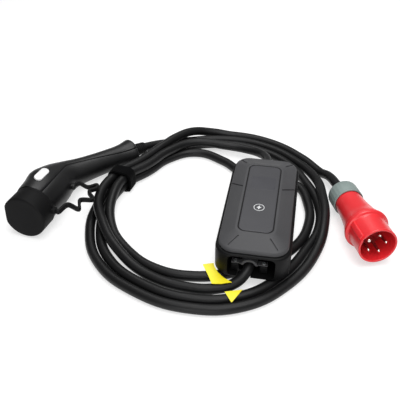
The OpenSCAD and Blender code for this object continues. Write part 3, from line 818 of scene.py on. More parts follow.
@dataclass
class Cables:
    """Charge cable and supply cable as they lie in the coil, with their lengths in metres, which are not
    used.
    """

    connector: Connector
    box: ControlBox
    plug: MainsPlug
    charge_length: float = 3.50
    supply_length: float = 0.97
    to_box: tuple[Point, ...] = ((80, 123, 17), (103, 105, 20.5), (112, 81, 26.5))
    from_box: tuple[Point, ...] = ((66.6, -179.4, 28.8), (60, -191, 22.8), (47.5, -199.6, 15.4),
                                   (27.5, -203.6, 9.6))
    to_plug: tuple[Point, ...] = ((212, 43, 16.5),)

    def __post_init__(self) -> None:
        """Works out both routes, from piece to piece."""
        rear, front = in_metres(self.box.boot_tips())
        self.charge = [*in_metres([self.connector.boot_tip()]), *around_coil(CHARGE_COIL),
                       *from_layout(self.to_box), rear]
        self.supply = [front, *from_layout(self.from_box), *around_coil(SUPPLY_COIL),
                       *from_layout(self.to_plug), *in_metres(self.plug.cable_line())]

    def build(self) -> tuple[bpy.types.Object, bpy.types.Object]:
        """Makes both cables.

        Returns:
            The charge cable and the supply cable.
        """
        return (self._tube("charge_cable_sheath", self.charge, "charge_cable"),
                self._tube("supply_cable_sheath", self.supply, "supply_cable"))

    def _tube(self, name: str, route: Sequence[Point], node: str) -> bpy.types.Object:
        """Draws one round cable on a smooth line through its route that never dips under the floor.

        Args:
            name: the piece's name.
            route: the points that it passes, in metres.
            node: the solid that it stands for.

        Returns:
            The curve piece.
        """
        curve = bpy.data.curves.new(name, "CURVE")
        curve.dimensions = "3D"
        curve.bevel_depth = CABLE_R * MM
        curve.bevel_resolution = 6
        curve.resolution_u = 8
        curve.use_fill_caps = True
        line = curve.splines.new("BEZIER")
        line.bezier_points.add(len(route) - 1)
        for knot, spot in zip(line.bezier_points, route):
            knot.co = spot
            knot.handle_left_type = knot.handle_right_type = "AUTO"
        for knot in line.bezier_points:
            knot.handle_left_type = knot.handle_right_type = "FREE"
            knot.handle_left.z = max(knot.handle_left.z, CABLE_R * MM)
            knot.handle_right.z = max(knot.handle_right.z, CABLE_R * MM)
        piece = bpy.data.objects.new(name, curve)
        bpy.context.collection.objects.link(piece)
        return Dress("sheath", "cable_black", (node,)).put_on(piece)


# Connector


# distance along the spine, half breadth, half height, turn of the parting line, height of the shoulder
Station = tuple[float, float, float, float, float]


class Half(Enum):
    """The two shells of the connector."""

    BACK = "towards the back of the hand"
    GRIP = "towards the fingers"


@dataclass
class Connector:
    """Vehicle connector that lies on its side: two shells, badge, boot, dust cap and strap."""

    at: Vector = field(default_factory=lambda: Vector((-258.0, -89.0, 35.755)))
    turn_deg: float = 72.5
    tilt_deg: float = 3.95
    cap_l: float = 34.0
    cap_gap: float = 0.4
    cap_floor: float = 3.6
    cap_r: float = 33.5
    cap_flat: float = 0.94
    cap_clear: float = 0.35
    nose_r: float = 27.5
    head_l: float = 58.0
    bend_r: float = 80.0
    bend_deg: float = 32.0
    grip_l: float = 112.0
    wall: float = 3.0
    boot_l: float = 30.0
    over_boot: float = 6.0
    shoulder_deg: float = 58.0
    shoulder_span: float = 62.0
    section_step: float = 3.0
    rim_steps: tuple[float, ...] = (4.0, 2.6, 1.6, 0.8, 0.3, 0.0)
    smoothings: int = 3
    badge_size: Point = (32.0, 12.6, 2.6)
    badge_at: Point = (67.0, 3.1, 34.6)
    badge_roll_deg: float = 15.6
    badge_pitch_deg: float = 1.2
    lug_low: float = -1.0
    lug_h: float = 8.0
    lug_half: float = 5.0
    lug_round: float = 1.6
    cap_lug_out: float = 5.0
    cap_lug_in: float = 7.0
    grip_lug: Flat = (97.0, 36.0)
    grip_lug_l: float = 14.0
    strap_gap: float = 0.6
    strap_lead: float = 4.0
    strap_seat: float = 0.4
    strap_t: float = 4.3
    strap_z: float = 32.8
    strap_h: float = 8.0
    # height of the strap's two ends, in metres
    strap_blend_z: float = 0.0368
    strap_folds: tuple[Flat, ...] = ((-198, -59), (-180, -69), (-181, -48), (-162, -46), (-171, -27),
                                     (-160, -18), (-161, -10), (-174, -15), (-188, -5))
    ribs: Ribs = Ribs(6, 5.0, 4.0, 2.2, 0.36, 2.4, (1.3, 1.4))

    def __post_init__(self) -> None:
        """Works out the spine, the section table and the placement."""
        self.bend_l = self.bend_r * math.radians(self.bend_deg)
        self.spine_l = self.head_l + self.bend_l + self.grip_l
        end = self.shell_l = self.spine_l + self.over_boot
        self.rows: tuple[Station, ...] = (
            (0, 30.6, 30.6, 26, 4.6), (6, 31.2, 31, 26, 5.0), (16, 31.8, 31.3, 26, 5.4),
            (24, 32, 31.3, 25.5, 6.2), (36, 32.1, 30.9, 24.5, 9.6), (48, 31.6, 29.9, 23, 8.8),
            (58, 30.8, 29.2, 22, 6.8), (68, 29.1, 28, 21, 4.9), (78, 26.9, 26.3, 17, 3.4),
            (88, 24.6, 24.3, 10, 2.3), (98, 22.7, 22.6, 10, 1.9), (110, 21.1, 21.1, 10, 1.4),
            (130, 19.6, 19.8, 14, 1), (155, 18.8, 19, 25, 0.5), (182, 18.6, 18.6, 37, 0.2),
            (194, 19, 18.8, 42, 0), (204, 20.6, 19.8, 44, 0), (212, 22.6, 21.6, 45, 0),
            (end - 4.5, 23.4, 22.6, 45, 0), (end - 1.8, 22.2, 21.6, 45, 0), (end, 18.6, 18.4, 45, 0))
        self.where = (Matrix.Translation(self.at + SHIFT) @ turned(self.turn_deg, "Z")
                      @ turned(self.tilt_deg, "Y"))
        self.cap_end = self.cap_l - self.cap_gap

    def build(self) -> None:
        """Makes and dresses every piece of the connector."""
        self._shell("connector_back_shell", Half.BACK, "back_shell")
        self._shell("connector_grip_shell", Half.GRIP, "grip_shell")
        self._badge()
        self._boot()
        self._dust_cap()
        self._strap()

    def _spine(self, s: float) -> tuple[Vector, float]:
        """Gives the place and the heading of the spine.

        Args:
            s: distance behind the cap.

        Returns:
            The place on the plan and the heading in radians.
        """
        if s < self.head_l:
            return Vector((self.cap_l + s, 0.0)), 0.0
        a = -min(s - self.head_l, self.bend_l) / self.bend_r
        spot = Vector((self.cap_l + self.head_l - self.bend_r * math.sin(a),
                       -self.bend_r * (1 - math.cos(a))))
        rest = max(0.0, s - self.head_l - self.bend_l)
        return spot + rest * Vector((math.cos(a), math.sin(a))), a

    def boot_tip(self) -> Vector:
        """Finds where the charge cable comes out.

        Returns:
            The tip of the boot, in the part's frame.
        """
        spot, heading = self._spine(self.spine_l)
        tip = spot + self.boot_l * Vector((math.cos(heading), math.sin(heading)))
        return self.where @ Vector((tip.x, tip.y, 0.0))

    def _read(self, s: float, column: int) -> float:
        """Reads the section table between its rows.

        Args:
            s: distance along the spine.
            column: which value of the row.

        Returns:
            The value at that distance.
        """
        for low, high in zip(self.rows, self.rows[1:]):
            if s <= high[0]:
                return low[column] + (high[column] - low[column]) * (s - low[0]) / (high[0] - low[0])
        return self.rows[-1][column]

    def _stations(self) -> list[Station]:
        """Gives closely set sections with the steps of the table smoothed away.

        Returns:
            The rows of the table at each section.
        """
        step, columns = self.section_step, (1, 2, 3, 4)
        spots = [i * step for i in range(int((self.shell_l - 2 * step) / step) + 1)]
        spots += [self.shell_l - d for d in self.rim_steps]
        table = [[s, *(self._read(s, column) for column in columns)] for s in spots]
        for _ in range(self.smoothings):
            for column in columns:
                line = [row[column] for row in table]
                for i in range(1, len(spots) - len(self.rim_steps)):
                    table[i][column] = (line[i - 1] + 2 * line[i] + line[i + 1]) / 4
        return [tuple(row) for row in table]

    def _section(self, station: Station, angle_deg: float, cut: float) -> Point:
        """Gives a point of a section, which is flat where the connector rests on the floor.

        Args:
            station: a row of the section table.
            angle_deg: angle round the spine, from the back.
            cut: depth below the skin.

        Returns:
            The point in the connector's own frame.
        """
        spot, heading = self._spine(station[0])
        off = abs((angle_deg - self.shoulder_deg + 180.0) % 360.0 - 180.0)
        grow = station[4] * (0.5 + 0.5 * math.cos(math.pi * min(1.0, off / self.shoulder_span))) - cut
        across = (station[1] + grow) * math.cos(math.radians(angle_deg))
        x, tilt = spot.x - across * math.sin(heading), math.radians(self.tilt_deg)
        clear = 0.1
        floor = cut + clear - (self.at.z - x * math.sin(tilt)) / math.cos(tilt)
        return (x, spot.y + across * math.cos(heading),
                max((station[2] + grow) * math.sin(math.radians(angle_deg)), floor))

    def _shell(self, name: str, half: Half, node: str) -> None:
        """Lofts one half shell whose edges fall away into the parting groove.

        Args:
            name: the piece's name.
            half: which of the two shells it is.
            node: the solid that it stands for.
        """
        skin = [(0.0, 1.5), (0.9, 0.95), (2.0, 0.35), (3.6, 0.08), (5.2, 0.0)]
        edge, outer_n, inner_n = skin[-1][0], 26, 16
        flank = [(edge + (180.0 - 2 * edge) * i / outer_n, 0.0) for i in range(1, outer_n)]
        outer = skin + flank + [(180.0 - a, cut) for a, cut in skin[::-1]]
        inner = [(180.0 - 180.0 * i / inner_n, self.wall) for i in range(inner_n + 1)]
        rings: list[Ring] = []
        for row in self._stations():
            first, span = -90.0, 180.0 + row[3]
            if half is Half.GRIP:
                first, span = 90.0 + row[3], 180.0 - row[3]
            rings.append([self._section(row, first + span * a / 180.0, cut) for a, cut in outer + inner])
        piece = loft(name, rings)
        if half is Half.GRIP:
            x, y = self.grip_lug
            join(piece, [self._eye("lug", x, -y, self.grip_lug_l - y)])
        Dress("shell", "shell_black", (node,), smooth_deg=38.0).put_on(place(piece, self.where))

    def _eye(self, name: str, x: float, low_y: float, high_y: float) -> bpy.types.Object:
        """Makes the block that holds one end of the strap.

        Args:
            name: the block's name.
            x: its middle along the connector.
            low_y: its outer end.
            high_y: its end inside the piece that it stands on.

        Returns:
            The block.
        """
        return block(name, (x - self.lug_half, low_y, self.lug_low),
                     (x + self.lug_half, high_y, self.lug_low + self.lug_h), self.lug_round)

    def _badge(self) -> None:
        """Makes the blank white badge as a pill with a soft edge, let into the shoulder of the back shell."""
        length, width, thick = self.badge_size
        rings = [rounded_rectangle(length - 2 * d, width - 2 * d, width / 2 - d, 0.0, z, 10)
                 for d, z in ((0.0, 0.0), (0.0, thick - 0.7), (0.2, thick - 0.25), (0.7, thick))]
        piece = loft("connector_badge", rings)
        spot = (Matrix.Translation(self.badge_at) @ turned(self.badge_roll_deg, "X")
                @ turned(self.badge_pitch_deg, "Y"))
        Dress("badge", "badge_white", ("badge",)).put_on(place(piece, self.where @ spot))

    def _boot(self) -> None:
        """Spins the ribbed cable boot at the end of the grip."""
        tip = BOOT_TIP_R
        root = [(-12, 0.0), (-12, 14.5), (0, 14.5, 0.8), (1.5, 13.6, 0.6), (4, tip + 2.4)]
        profile = [*root, *self.ribs.corners(tip), (self.boot_l, tip, 0.5), (self.boot_l, 0.0)]
        spot, heading = self._spine(self.spine_l)
        there = Matrix.Translation((spot.x, spot.y, 0.0)) @ Matrix.Rotation(heading, 4, "Z")
        piece = place(lathe("connector_boot_ribbed", fillet(profile, 3), 48), self.where @ there)
        Dress("soft_rubber", "rubber_black", ("connector_boot",)).put_on(piece)

    def _dust_cap(self) -> None:
        """Lofts the hollow cap with a flat face, a rounded rim and a flat on its back, and an eye block."""
        flat, end = self.cap_r * self.cap_flat, self.cap_end
        outside = [(0.0, 4.0), (0.12, 2.6), (0.6, 1.3), (1.5, 0.45), (2.8, 0.0), (end - 7.2, 0.0),
                   (end - 6.8, 0.35), (end - 6.2, 0.35), (end - 5.8, 0.0), (end - 1.2, 0.0),
                   (end - 0.4, 0.3), (end, 1.0)]
        rings = [self._cap_ring(x, self.cap_r - d, flat - d) for x, d in outside]
        bore = self.nose_r + self.cap_clear
        # the bore is round, so its flat lies beyond it
        rings += [self._cap_ring(x, bore, 2 * bore) for x in (end, self.cap_floor)]
        skirt = loft("dust_cap_moulded", rings)
        eye = self._eye("eye", end - self.lug_half, -self.cap_r - self.cap_lug_out,
                        self.cap_lug_in - self.cap_r)
        piece = place(join(skirt, [eye]), self.where)
        Dress("cap_rubber", "rubber_black", ("dust_cap",), CAP, 40.0).put_on(piece)

    def _cap_ring(self, x: float, r: float, level: float) -> Ring:
        """Gives a ring of the cap that turns softly into a flat.

        Args:
            x: its place along the connector.
            r: its radius.
            level: how far from the axis its flat lies.

        Returns:
            The ring; points on the flat are set apart a hair, so that no two fall together.
        """
        sides, soft, apart = 96, 1.2, 0.0004
        out: Ring = []
        for i in range(sides):
            a = math.tau * (i + 0.5) / sides
            y, z = r * math.cos(a), r * math.sin(a)
            over = y - level + soft
            if over >= 0.0:
                y = level - soft / 2 * (1.0 + math.exp(-over / soft)) + apart * i
            out.append((x, y, z))
        return out

    def _strap(self) -> None:
        """Lofts the rubber strap through its folds, from the cap's eye block to the grip's."""
        def on_floor(x: float, y: float) -> Vector:
            """Turns a point of the connector's plan into the layout's plan."""
            spot = self.at + turned(self.turn_deg, "Z") @ Vector((x, y, 0.0))
            return Vector((spot.x, spot.y, 0.0))

        eye_x, root = self.cap_end - self.lug_half, -self.cap_r - self.cap_lug_out - self.strap_gap
        knots = [on_floor(eye_x, root), on_floor(eye_x, root - self.strap_lead),
                 *(Vector((x, y, 0.0)) for x, y in self.strap_folds),
                 on_floor(self.grip_lug[0], self.strap_seat - self.grip_lug[1])]
        steps, sway, waves = 9, 0.105, 9.0
        line = smooth_path(knots, steps)
        section = rounded_rectangle(self.strap_t, self.strap_h, 1.5, 0.0, 0.0, 3)
        middle = self.strap_z + self.strap_h / 2
        rings: list[Ring] = []
        for i, spot in enumerate(line):
            run = (line[min(i + 1, len(line) - 1)] - line[max(i - 1, 0)]).normalized()
            side = Vector((-run.y, run.x, 0.0))
            lean = sway * math.sin(i / len(line) * waves)
            rings.append([tuple(spot + side * (u + lean * v) + Vector((0.0, 0.0, middle + v)))
                          for u, v, _ in section])
        piece = place(loft("cap_strap_rubber", rings), Matrix.Translation(SHIFT))
        Dress("soft_rubber", "rubber_black", ("cap_strap",), None).put_on(piece)
        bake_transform(piece)


# Control box


@dataclass
class ControlBox:
    """In-cable control box: base with a cable bay, faceted lid, panel, window, touch mark and boots."""

    at: Vector = field(default_factory=lambda: Vector((87.4, -81.3, 15.2)))
    turn_deg: float = -10.2
    base_w: float = 103.0
    base_l: float = 226.0
    base_h: float = 40.0
    base_r: float = 24.0
    bay_w: float = 64.0
    bay_l: float = 49.0
    bay_x: float = -3.0
    # how far the cable notch reaches into the black plate under the bay, which is painted shade
    painted_shade_plate_lip: float = 13.0
    mouth_x: Flat = (-18.5, 0.0)
    lid_z: float = 41.2
    lid_w: float = 95.0
    lid_l: float = 218.0
    lid_r: float = 22.0
    rise: float = 14.0
    panel_w: float = 48.0
    panel_l: float = 156.0
    panel_y: float = -1.0
    panel_r: float = 10.4
    grooves: tuple[tuple[Flat, Flat], ...] = (((28.6, 21.0), (47.0, 36.2)), ((21.0, -87.0), (32.8, -102.6)),
                                              ((30.4, 84.6), (40.0, 99.4)))
    window_w: float = 36.0
    window_l: float = 32.0
    window_r: float = 3.0
    window_y: float = 32.0
    mark_y: float = -26.0
    mark_r: Flat = (7.6, 6.7)
    gland_z: float = 17.0
    gland_r: float = 11.0
    gland_l: float = 22.0
    lug_x: float = 19.5
    lug_half: float = 5.5
    lug_l: float = 40.0
    lug_z: Flat = (4.0, 16.0)
    clamp_back: float = 34.0
    ribs: Ribs = Ribs(4, 4.0, 4.2, 1.3, 0.3, 2.6, (1.2, 1.2))

    def __post_init__(self) -> None:
        """Works out the placement, the heights and the places in the bay."""
        self.where = Matrix.Translation(self.at + SHIFT) @ turned(self.turn_deg, "Z")
        self.top = self.lid_z + self.rise
        self.bay_y = -self.base_l / 2 + self.bay_l
        self.clamp_y = self.bay_y - self.clamp_back
        self.lugs = tuple(self.bay_x + side * self.lug_x for side in (-1, 1))

    def build(self) -> None:
        """Makes and dresses every piece of the box."""
        self._base()
        self._lid()
        self._panel()
        self._window()
        self._touch_mark()
        self._lug_screws()
        self._clamp()
        self._boots()

    def boot_tips(self) -> tuple[Vector, Vector]:
        """Finds where the cables go in and out.

        Returns:
            The tips of the rear boot and of the front boot, in the part's frame.
        """
        rear = Vector((0.0, self.base_l / 2 + self.gland_l, self.gland_z))
        front = Vector((self.bay_x, self.bay_y - self.gland_l, self.gland_z))
        return self.where @ rear, self.where @ front

    def _base(self) -> None:
        """Lofts the base, cuts the cable bay into its front above a black floor plate that is painted shade,
        and adds the clamp lugs.
        """
        w, l, r, h = self.base_w, self.base_l, self.base_r, self.base_h
        steps = ((6.0, 0.0), (2.6, 0.3), (0.8, 1.4), (0.0, 3.6), (0.0, h - 3.6), (0.5, h - 1.9),
                 (1.6, h - 0.6), (3.0, h - 0.05), (4.6, h))
        piece = loft("box_base_moulded", [rounded_rectangle(w - 2 * d, l - 2 * d, r - 0.8 * d, 0.0, z, 10)
                                          for d, z in steps])
        side = self.bay_w / 2
        # the bay stops 3 mm above the floor, so a black plate of the base lies under it as painted shade for
        # the shadow under the lid; the mouth notches it for the cable
        bay = block("bay", (-side, -l, 3.0), (side, self.bay_y, h - 2.4), 7.0, 5)
        left, right = self.mouth_x
        mouth = block("mouth", (left, -l, -20.0), (right, self.painted_shade_plate_lip - l / 2, h - 4.0), 3.0)
        combine(piece, [bay, mouth], "DIFFERENCE")
        low, high = self.lug_z
        lug = block("lug", (-self.lug_half, self.bay_y - self.lug_l, low),
                    (self.lug_half, self.bay_y + 1, high), 1.6)
        lugs = copies(lug, [Matrix.Translation((x, 0.0, 0.0)) for x in self.lugs])
        place(join(piece, lugs), self.where)
        Dress("base", "base_black", ("box_base",), smooth_deg=30.0).put_on(piece)

    def _lid(self) -> None:
        """Lofts the faceted lid with its panel recess and cuts the side and corner grooves."""
        # rim: shrinking of the size and of the corner, and height
        rim = ((0.0, 0.0, 0.0), (0.0, 0.0, 2.4), (0.5, 0.2, 3.5), (1.8, 0.8, 4.6), (4.2, 1.8, 5.6))
        # frame of the panel: size beyond the panel's, corner, and depth below the top
        frame = ((10.6, 12.4, 0.9), (8.4, 12.0, 0.22), (6.0, 11.6, 0.0), (2.4, 11.0, 0.0), (1.5, 10.7, 0.3),
                 (0.9, 10.6, 1.5))
        rings = [rounded_rectangle(self.lid_w - d, self.lid_l - d, self.lid_r - c, 0.0, z) for d, c, z in rim]
        rings += [rounded_rectangle(self.panel_w + d, self.panel_l + d, r, self.panel_y, self.rise - z)
                  for d, r, z in frame]
        piece = loft("box_lid_faceted", rings)
        cutters = [self._groove(piece, (side * a[0], a[1]), (side * b[0], b[1]))
                   for side in (-1, 1) for a, b in self.grooves]
        combine(piece, cutters, "DIFFERENCE")
        place(piece, self.where @ Matrix.Translation((0.0, 0.0, self.lid_z)))
        Dress("lid", "lid_grey", ("box_lid",), smooth_deg=22.0).put_on(piece)

    def _groove(self, lid: bpy.types.Object, start: Flat, end: Flat, width: float = 2.0,
                depth: float = 1.4) -> bpy.types.Object:
        """Makes the cutter of a straight groove that follows the lid's slope.

        Args:
            lid: the lid before it is cut.
            start: where the groove begins, on the plan.
            end: where it ends, on the plan.
            width: its width.
            depth: its depth.

        Returns:
            The cutter.
        """
        above, clear = 60.0, 6.0
        a, b = (lid.ray_cast((x, y, above), (0.0, 0.0, -1.0))[1] for x, y in (start, end))
        run = b - a
        cutter = block("groove", (0.0, -width / 2, -depth), (run.length, width / 2, clear), 0.3, 2)
        along = run.normalized()
        side = Vector((0.0, 0.0, 1.0)).cross(along).normalized()
        up = along.cross(side)
        turn = Matrix((along, side, up)).transposed().to_4x4()
        return move(cutter, Matrix.Translation(a) @ turn)

    def _panel(self) -> None:
        """Lofts the panel with a soft edge, and a black band in the gap between it and the lid, which is
        painted shade of the groove.
        """
        w, l = self.panel_w, self.panel_l
        rings = [rounded_rectangle(w - 2 * d, l - 2 * d, self.panel_r - d, self.panel_y, self.top - z)
                 for d, z in ((0.8, 1.55), (0.8, 0.7), (0.95, 0.35), (1.3, 0.12), (2.0, 0.03), (3.2, 0.0))]
        piece = place(loft("box_panel", rings), self.where)
        Dress("panel", "panel_grey", ("display_panel",)).put_on(piece)
        # black band down in the groove round the panel: painted shade of the groove
        groove_shade_r = self.panel_r + 0.2
        rings = [rounded_rectangle(w + 2 * d, l + 2 * d, groove_shade_r + d, self.panel_y, self.top - z)
                 for d, z in ((-1.0, 1.2), (-1.0, 0.5), (0.6, 0.5), (0.6, 1.2))]
        groove_shade = place(loft("box_panel_groove_shade", rings + [rings[0]], False), self.where)
        Dress("soft_rubber", "rubber_black").put_on(groove_shade)

    def _window(self) -> None:
        """Lays the tinted window of the display flush on the panel."""
        w, l, r = self.window_w, self.window_l, self.window_r
        rings = [rounded_rectangle(w - 2 * d, l - 2 * d, r - d, self.window_y, self.top + z)
                 for d, z in ((0.0, -0.6), (0.0, -0.02), (0.15, 0.05), (0.6, 0.07))]
        piece = place(loft("box_window", rings), self.where)
        Dress("window", "window_glass", ("display_window",)).put_on(piece)

    def _touch_mark(self) -> None:
        """Makes the printed ring with a plain bolt sign inside it."""
        outer, inner = self.mark_r
        sunk, edge, proud = self.top - 0.5, self.top + 0.04, self.top + 0.08
        steps = ((outer, sunk), (outer, edge), (outer - 0.1, proud), (inner + 0.1, proud), (inner, edge),
                 (inner, sunk))
        angles = [math.tau * i / 48 for i in range(48)]
        band = [[(r * math.cos(a), self.mark_y + r * math.sin(a), z) for a in angles] for r, z in steps]
        ring = loft("touch_mark_ring", band + [band[0]], False)
        shape = ((1.4, 5.2), (-3.6, -1.0), (-0.8, -1.0), (-1.4, -5.2), (3.6, 1.0), (0.8, 1.0))
        bolt = loft("bolt", [[(x, y + self.mark_y, z) for x, y in shape] for z in (sunk, proud)])
        piece = place(join(ring, [bolt]), self.where)
        Dress("print_grey", "badge_white", ("touch_ring",)).put_on(piece)

    def _lug_screws(self) -> None:
        """Makes two domed cross-recess screws on the clamp lugs."""
        profile = fillet([(-8, 0.0), (-8, 2.0), (0, 2.0), (0, 3.6, 0.2), (1.0, 3.6, 0.6), (2.4, 1.8, 0.8),
                          (2.4, 0.0)], 3)
        dome = lathe("lug_screw_heads", profile, 32)
        slot = block("slot", (1.5, -2.0, -0.4), (4.0, 2.0, 0.4), 0.1, 1)
        combine(dome, copies(slot, [Matrix.Identity(4), turned(90.0, "X")]), "DIFFERENCE")
        heads = copies(dome, [Matrix.Translation((x, self.clamp_y, self.lug_z[1])) @ turned(-90.0, "Y")
                              for x in self.lugs])
        piece = place(join(heads[0], heads[1:]), self.where)
        Dress("zinc", "screw_steel", ("lug_screws",)).put_on(piece)

    def _clamp(self) -> None:
        """Makes the saddle that holds the cable between the two lugs."""
        x, y, z = self.bay_x, self.clamp_y, self.lug_z[1]
        half, inner, outer, drop, reach = 6.0, 8.3, 11.6, 1.8, 20.0
        profile = fillet([(-half, inner), (-half, outer, 0.9), (half, outer, 0.9), (half, inner),
                          (-half, inner)], 3)
        saddle = lathe("cable_clamp_saddle", profile, 48)
        move(saddle, Matrix.Translation((x, y, z - drop)) @ turned(90.0, "Z"))
        under = block("under", (x - reach, y - reach, -reach), (x + reach, y + reach, z), 0.1, 1)
        combine(saddle, [under], "DIFFERENCE")
        ear_from, ear_to, ear_half, ear_t = 9.0, self.lug_x + 5.2, 4.5, 1.5
        ear = block("ear", (x - ear_to, y - ear_half, z), (x - ear_from, y + ear_half, z + ear_t), 0.5)
        ears = copies(ear, [Matrix.Translation((across, 0.0, 0.0)) for across in (0.0, ear_from + ear_to)])
        place(join(saddle, ears), self.where)
        # the clamp's mid grey is partly painted light, against the shade of the bay
        Dress("gland_painted_light", "rubber_black").put_on(saddle)

    def _boots(self) -> None:
        """Spins both ribbed cable boots."""
        tip, r = BOOT_TIP_R, self.gland_r
        root = [(-7, 0.0), (-7, r + 1.8), (-4, r + 1.8, 0.4), (-4, r), (2, r, 0.6), (3.2, r - 0.6, 0.3)]
        profile = [*root, *self.ribs.corners(tip), (self.gland_l, tip, 0.5), (self.gland_l, 0.0)]
        spots = {"rear_boot": (0.0, self.base_l / 2, 90.0), "front_boot": (self.bay_x, self.bay_y, -90.0)}
        boots = copies(lathe("boot", fillet(profile, 3), 48),
                       [Matrix.Translation((x, y, self.gland_z)) @ turned(turn, "Z")
                        for x, y, turn in spots.values()])
        for node, piece in zip(spots, boots):
            piece.name = f"{node}_ribbed"
            piece.data.name = piece.name
            # the boots' mid grey is partly painted light, standing in for the highlight on the front collar
            Dress("gland_painted_light", "rubber_black", (node,)).put_on(place(piece, self.where))


# Mains plug


@dataclass
class MainsPlug:
    """Red five-pole plug at the end of the supply cable."""

    at: Flat = (221.5, -4.0)
    clear: float = 0.02
    turn_deg: float = -80.5
    roll_deg: float = 58.0
    nut_r: float = 23.5
    nut_l: float = 38.0
    nut_flats: int = 24
    body_l: float = 66.0
    flange_l: float = 7.0
    flange_r: float = 32.5
    sleeve_r: float = 28.0
    sleeve_l: float = 38.0
    wall: float = 3.0
    insert_t: float = 8.0
    pin_l: float = 33.0
    pin_r: float = 2.5
    earth_r: float = 3.5
    contacts: int = 5
    circle_r: float = 14.0
    cable_x: tuple[float, ...] = (-18.0, 0.0, 20.0)

    def __post_init__(self) -> None:
        """Works out the lengths and the placement."""
        self.flange_x = self.nut_l + self.body_l
        self.rim_x = self.flange_x + self.flange_l + self.sleeve_l
        tilt = math.atan((self.flange_r - self.nut_r) / self.flange_x)
        at = Vector((*self.at, self.nut_r * math.cos(tilt) + self.clear))
        self.where = (Matrix.Translation(at + SHIFT) @ turned(self.turn_deg, "Z")
                      @ Matrix.Rotation(-tilt, 4, "Y"))
        self.roll = turned(self.roll_deg, "X")
        out = Matrix.Translation((0.0, 0.0, self.circle_r))
        turns = [turned(360.0 / self.contacts * k, "X") @ out for k in range(self.contacts)]
        self.earth_spots, self.live_spots = turns[:1], turns[1:]

    def build(self) -> list[bpy.types.Object]:
        """Makes and dresses every piece of the plug.

        Returns:
            The dressed pieces of the plug.
        """
        return [self._nut(), self._housing(), self._sleeve(), self._insert(),
                self._contact("plug_live_pins", self.pin_r, self.live_spots, "live_pins"),
                self._contact("plug_earth_pin", self.earth_r, self.earth_spots, "earth_pin")]

    def cable_line(self) -> list[Vector]:
        """Gives the points, in the part's frame, on which the supply cable runs into the plug."""
        return [self.where @ Vector((x, 0.0, 0.0)) for x in self.cable_x]

    def _nut(self) -> bpy.types.Object:
        """Lofts the compression nut with soft flats, a front bead and a counterbore round the body.

        Returns:
            The dressed piece.
        """
        r, end = self.nut_r, self.nut_l
        run = ((0.0, 11.3, 0.0), (0.0, 13.0, 0.0), (0.6, 13.8, 0.0), (7.4, 19.6, 0.0), (8.2, 20.9, 0.0),
               (9.2, 22.1, 0.1), (10.6, 23.0, 0.2), (12.4, r, 0.3), (end - 5.6, r, 0.3),
               (end - 5.0, r - 0.2, 0.15), (end - 4.7, r - 0.6, 0.0), (end - 4.2, r - 0.6, 0.0),
               (end - 3.8, r - 0.1, 0.0), (end - 0.9, r, 0.0), (end - 0.25, r - 0.35, 0.0),
               (end, r - 1.0, 0.0), (end, 21.7, 0.0), (end - 0.4, 21.4, 0.0), (end - 3.0, 21.4, 0.0),
               (end - 3.0, 14.2, 0.0), (end - 10.0, 14.2, 0.0), (end - 10.0, 11.3, 0.0))
        rings = [self._nut_ring(*step) for step in run]
        piece = place(loft("plug_nut_moulded", rings + [rings[0]], False), self.where)
        return Dress("nut_grey", "nut_grey", ("plug_nut",)).put_on(piece)

    def _nut_ring(self, x: float, r: float, deep: float) -> Ring:
        """Gives a ring of the nut with its shallow flats.

        Args:
            x: its place along the plug.
            r: its radius.
            deep: depth of the flats.

        Returns:
            The ring.
        """
        sides = 6 * self.nut_flats
        out: Ring = []
        for i in range(sides):
            a = math.tau * i / sides
            reach = r - deep * (0.5 + 0.5 * math.cos(self.nut_flats * a))
            out.append((x, reach * math.cos(a), reach * math.sin(a)))
        return out

    def _housing(self) -> bpy.types.Object:
        """Spins the rear housing, from its neck in the nut to its flared front.

        Returns:
            The dressed piece.
        """
        n, end = self.nut_l, self.flange_x
        profile = fillet([(n - 10, 11.2), (n - 10, 14.0, 0.3), (n - 2.6, 14.0), (n - 2.6, 20.5, 0.6),
                          (n + 4, 21.0, 2.0), (n + 24, 22.5, 8.0), (n + 48, 26.0, 8.0), (n + 58, 29.0, 3.5),
                          (end - 4, 30.0, 2.0), (end - 1.2, 30.0, 0.4), (end - 0.8, 29.3, 0.3), (end, 29.3),
                          (end, 26.0), (end - 10, 25.5), (end - 22, 21.5), (n + 10, 17.0), (n + 6, 11.2),
                          (n - 10, 11.2)], 5)
        piece = place(lathe("plug_housing_moulded", profile, 96), self.where)
        return Dress("plug_red", "plug_red", ("plug_housing",), smooth_deg=35.0).put_on(piece)

    def _sleeve(self) -> bpy.types.Object:
        """Spins the sleeve with its flange and rounded rim, and adds the key outside and its groove inside.

        Returns:
            The dressed piece.
        """
        f, rim, r, inner = self.flange_x, self.rim_x, self.sleeve_r, self.sleeve_r - self.wall
        profile = fillet([(f, inner), (f, self.flange_r - 0.6, 0.4), (f + 1.2, self.flange_r, 0.8),
                          (f + 5.4, self.flange_r, 1.2), (f + self.flange_l, r + 0.8, 1.2), (f + 9.5, r, 1.0),
                          (rim - 3.0, r, 1.0), (rim - 2.4, r + 0.25, 0.4), (rim, r + 0.15, 0.9),
                          (rim, inner + 0.3, 0.8), (rim - 2.0, inner, 0.6), (f, inner)], 4)
        piece = lathe("plug_sleeve_moulded", profile, 96)
        key_half, slot_half = 4.0, 2.4
        key = block("key", (f + self.flange_l - 2, -key_half, r - 1.6), (rim - 4.0, key_half, r + 1.8), 0.9)
        slot = block("slot", (f + self.flange_l + 6, -slot_half, 10.0),
                     (rim + 20, slot_half, r - 1.2), 0.3, 2)
        combine(piece, [move(key, self.roll)], "UNION")
        combine(piece, [move(slot, self.roll)], "DIFFERENCE")
        place(piece, self.where)
        return Dress("plug_red", "plug_red", ("plug_sleeve",), smooth_deg=35.0).put_on(piece)

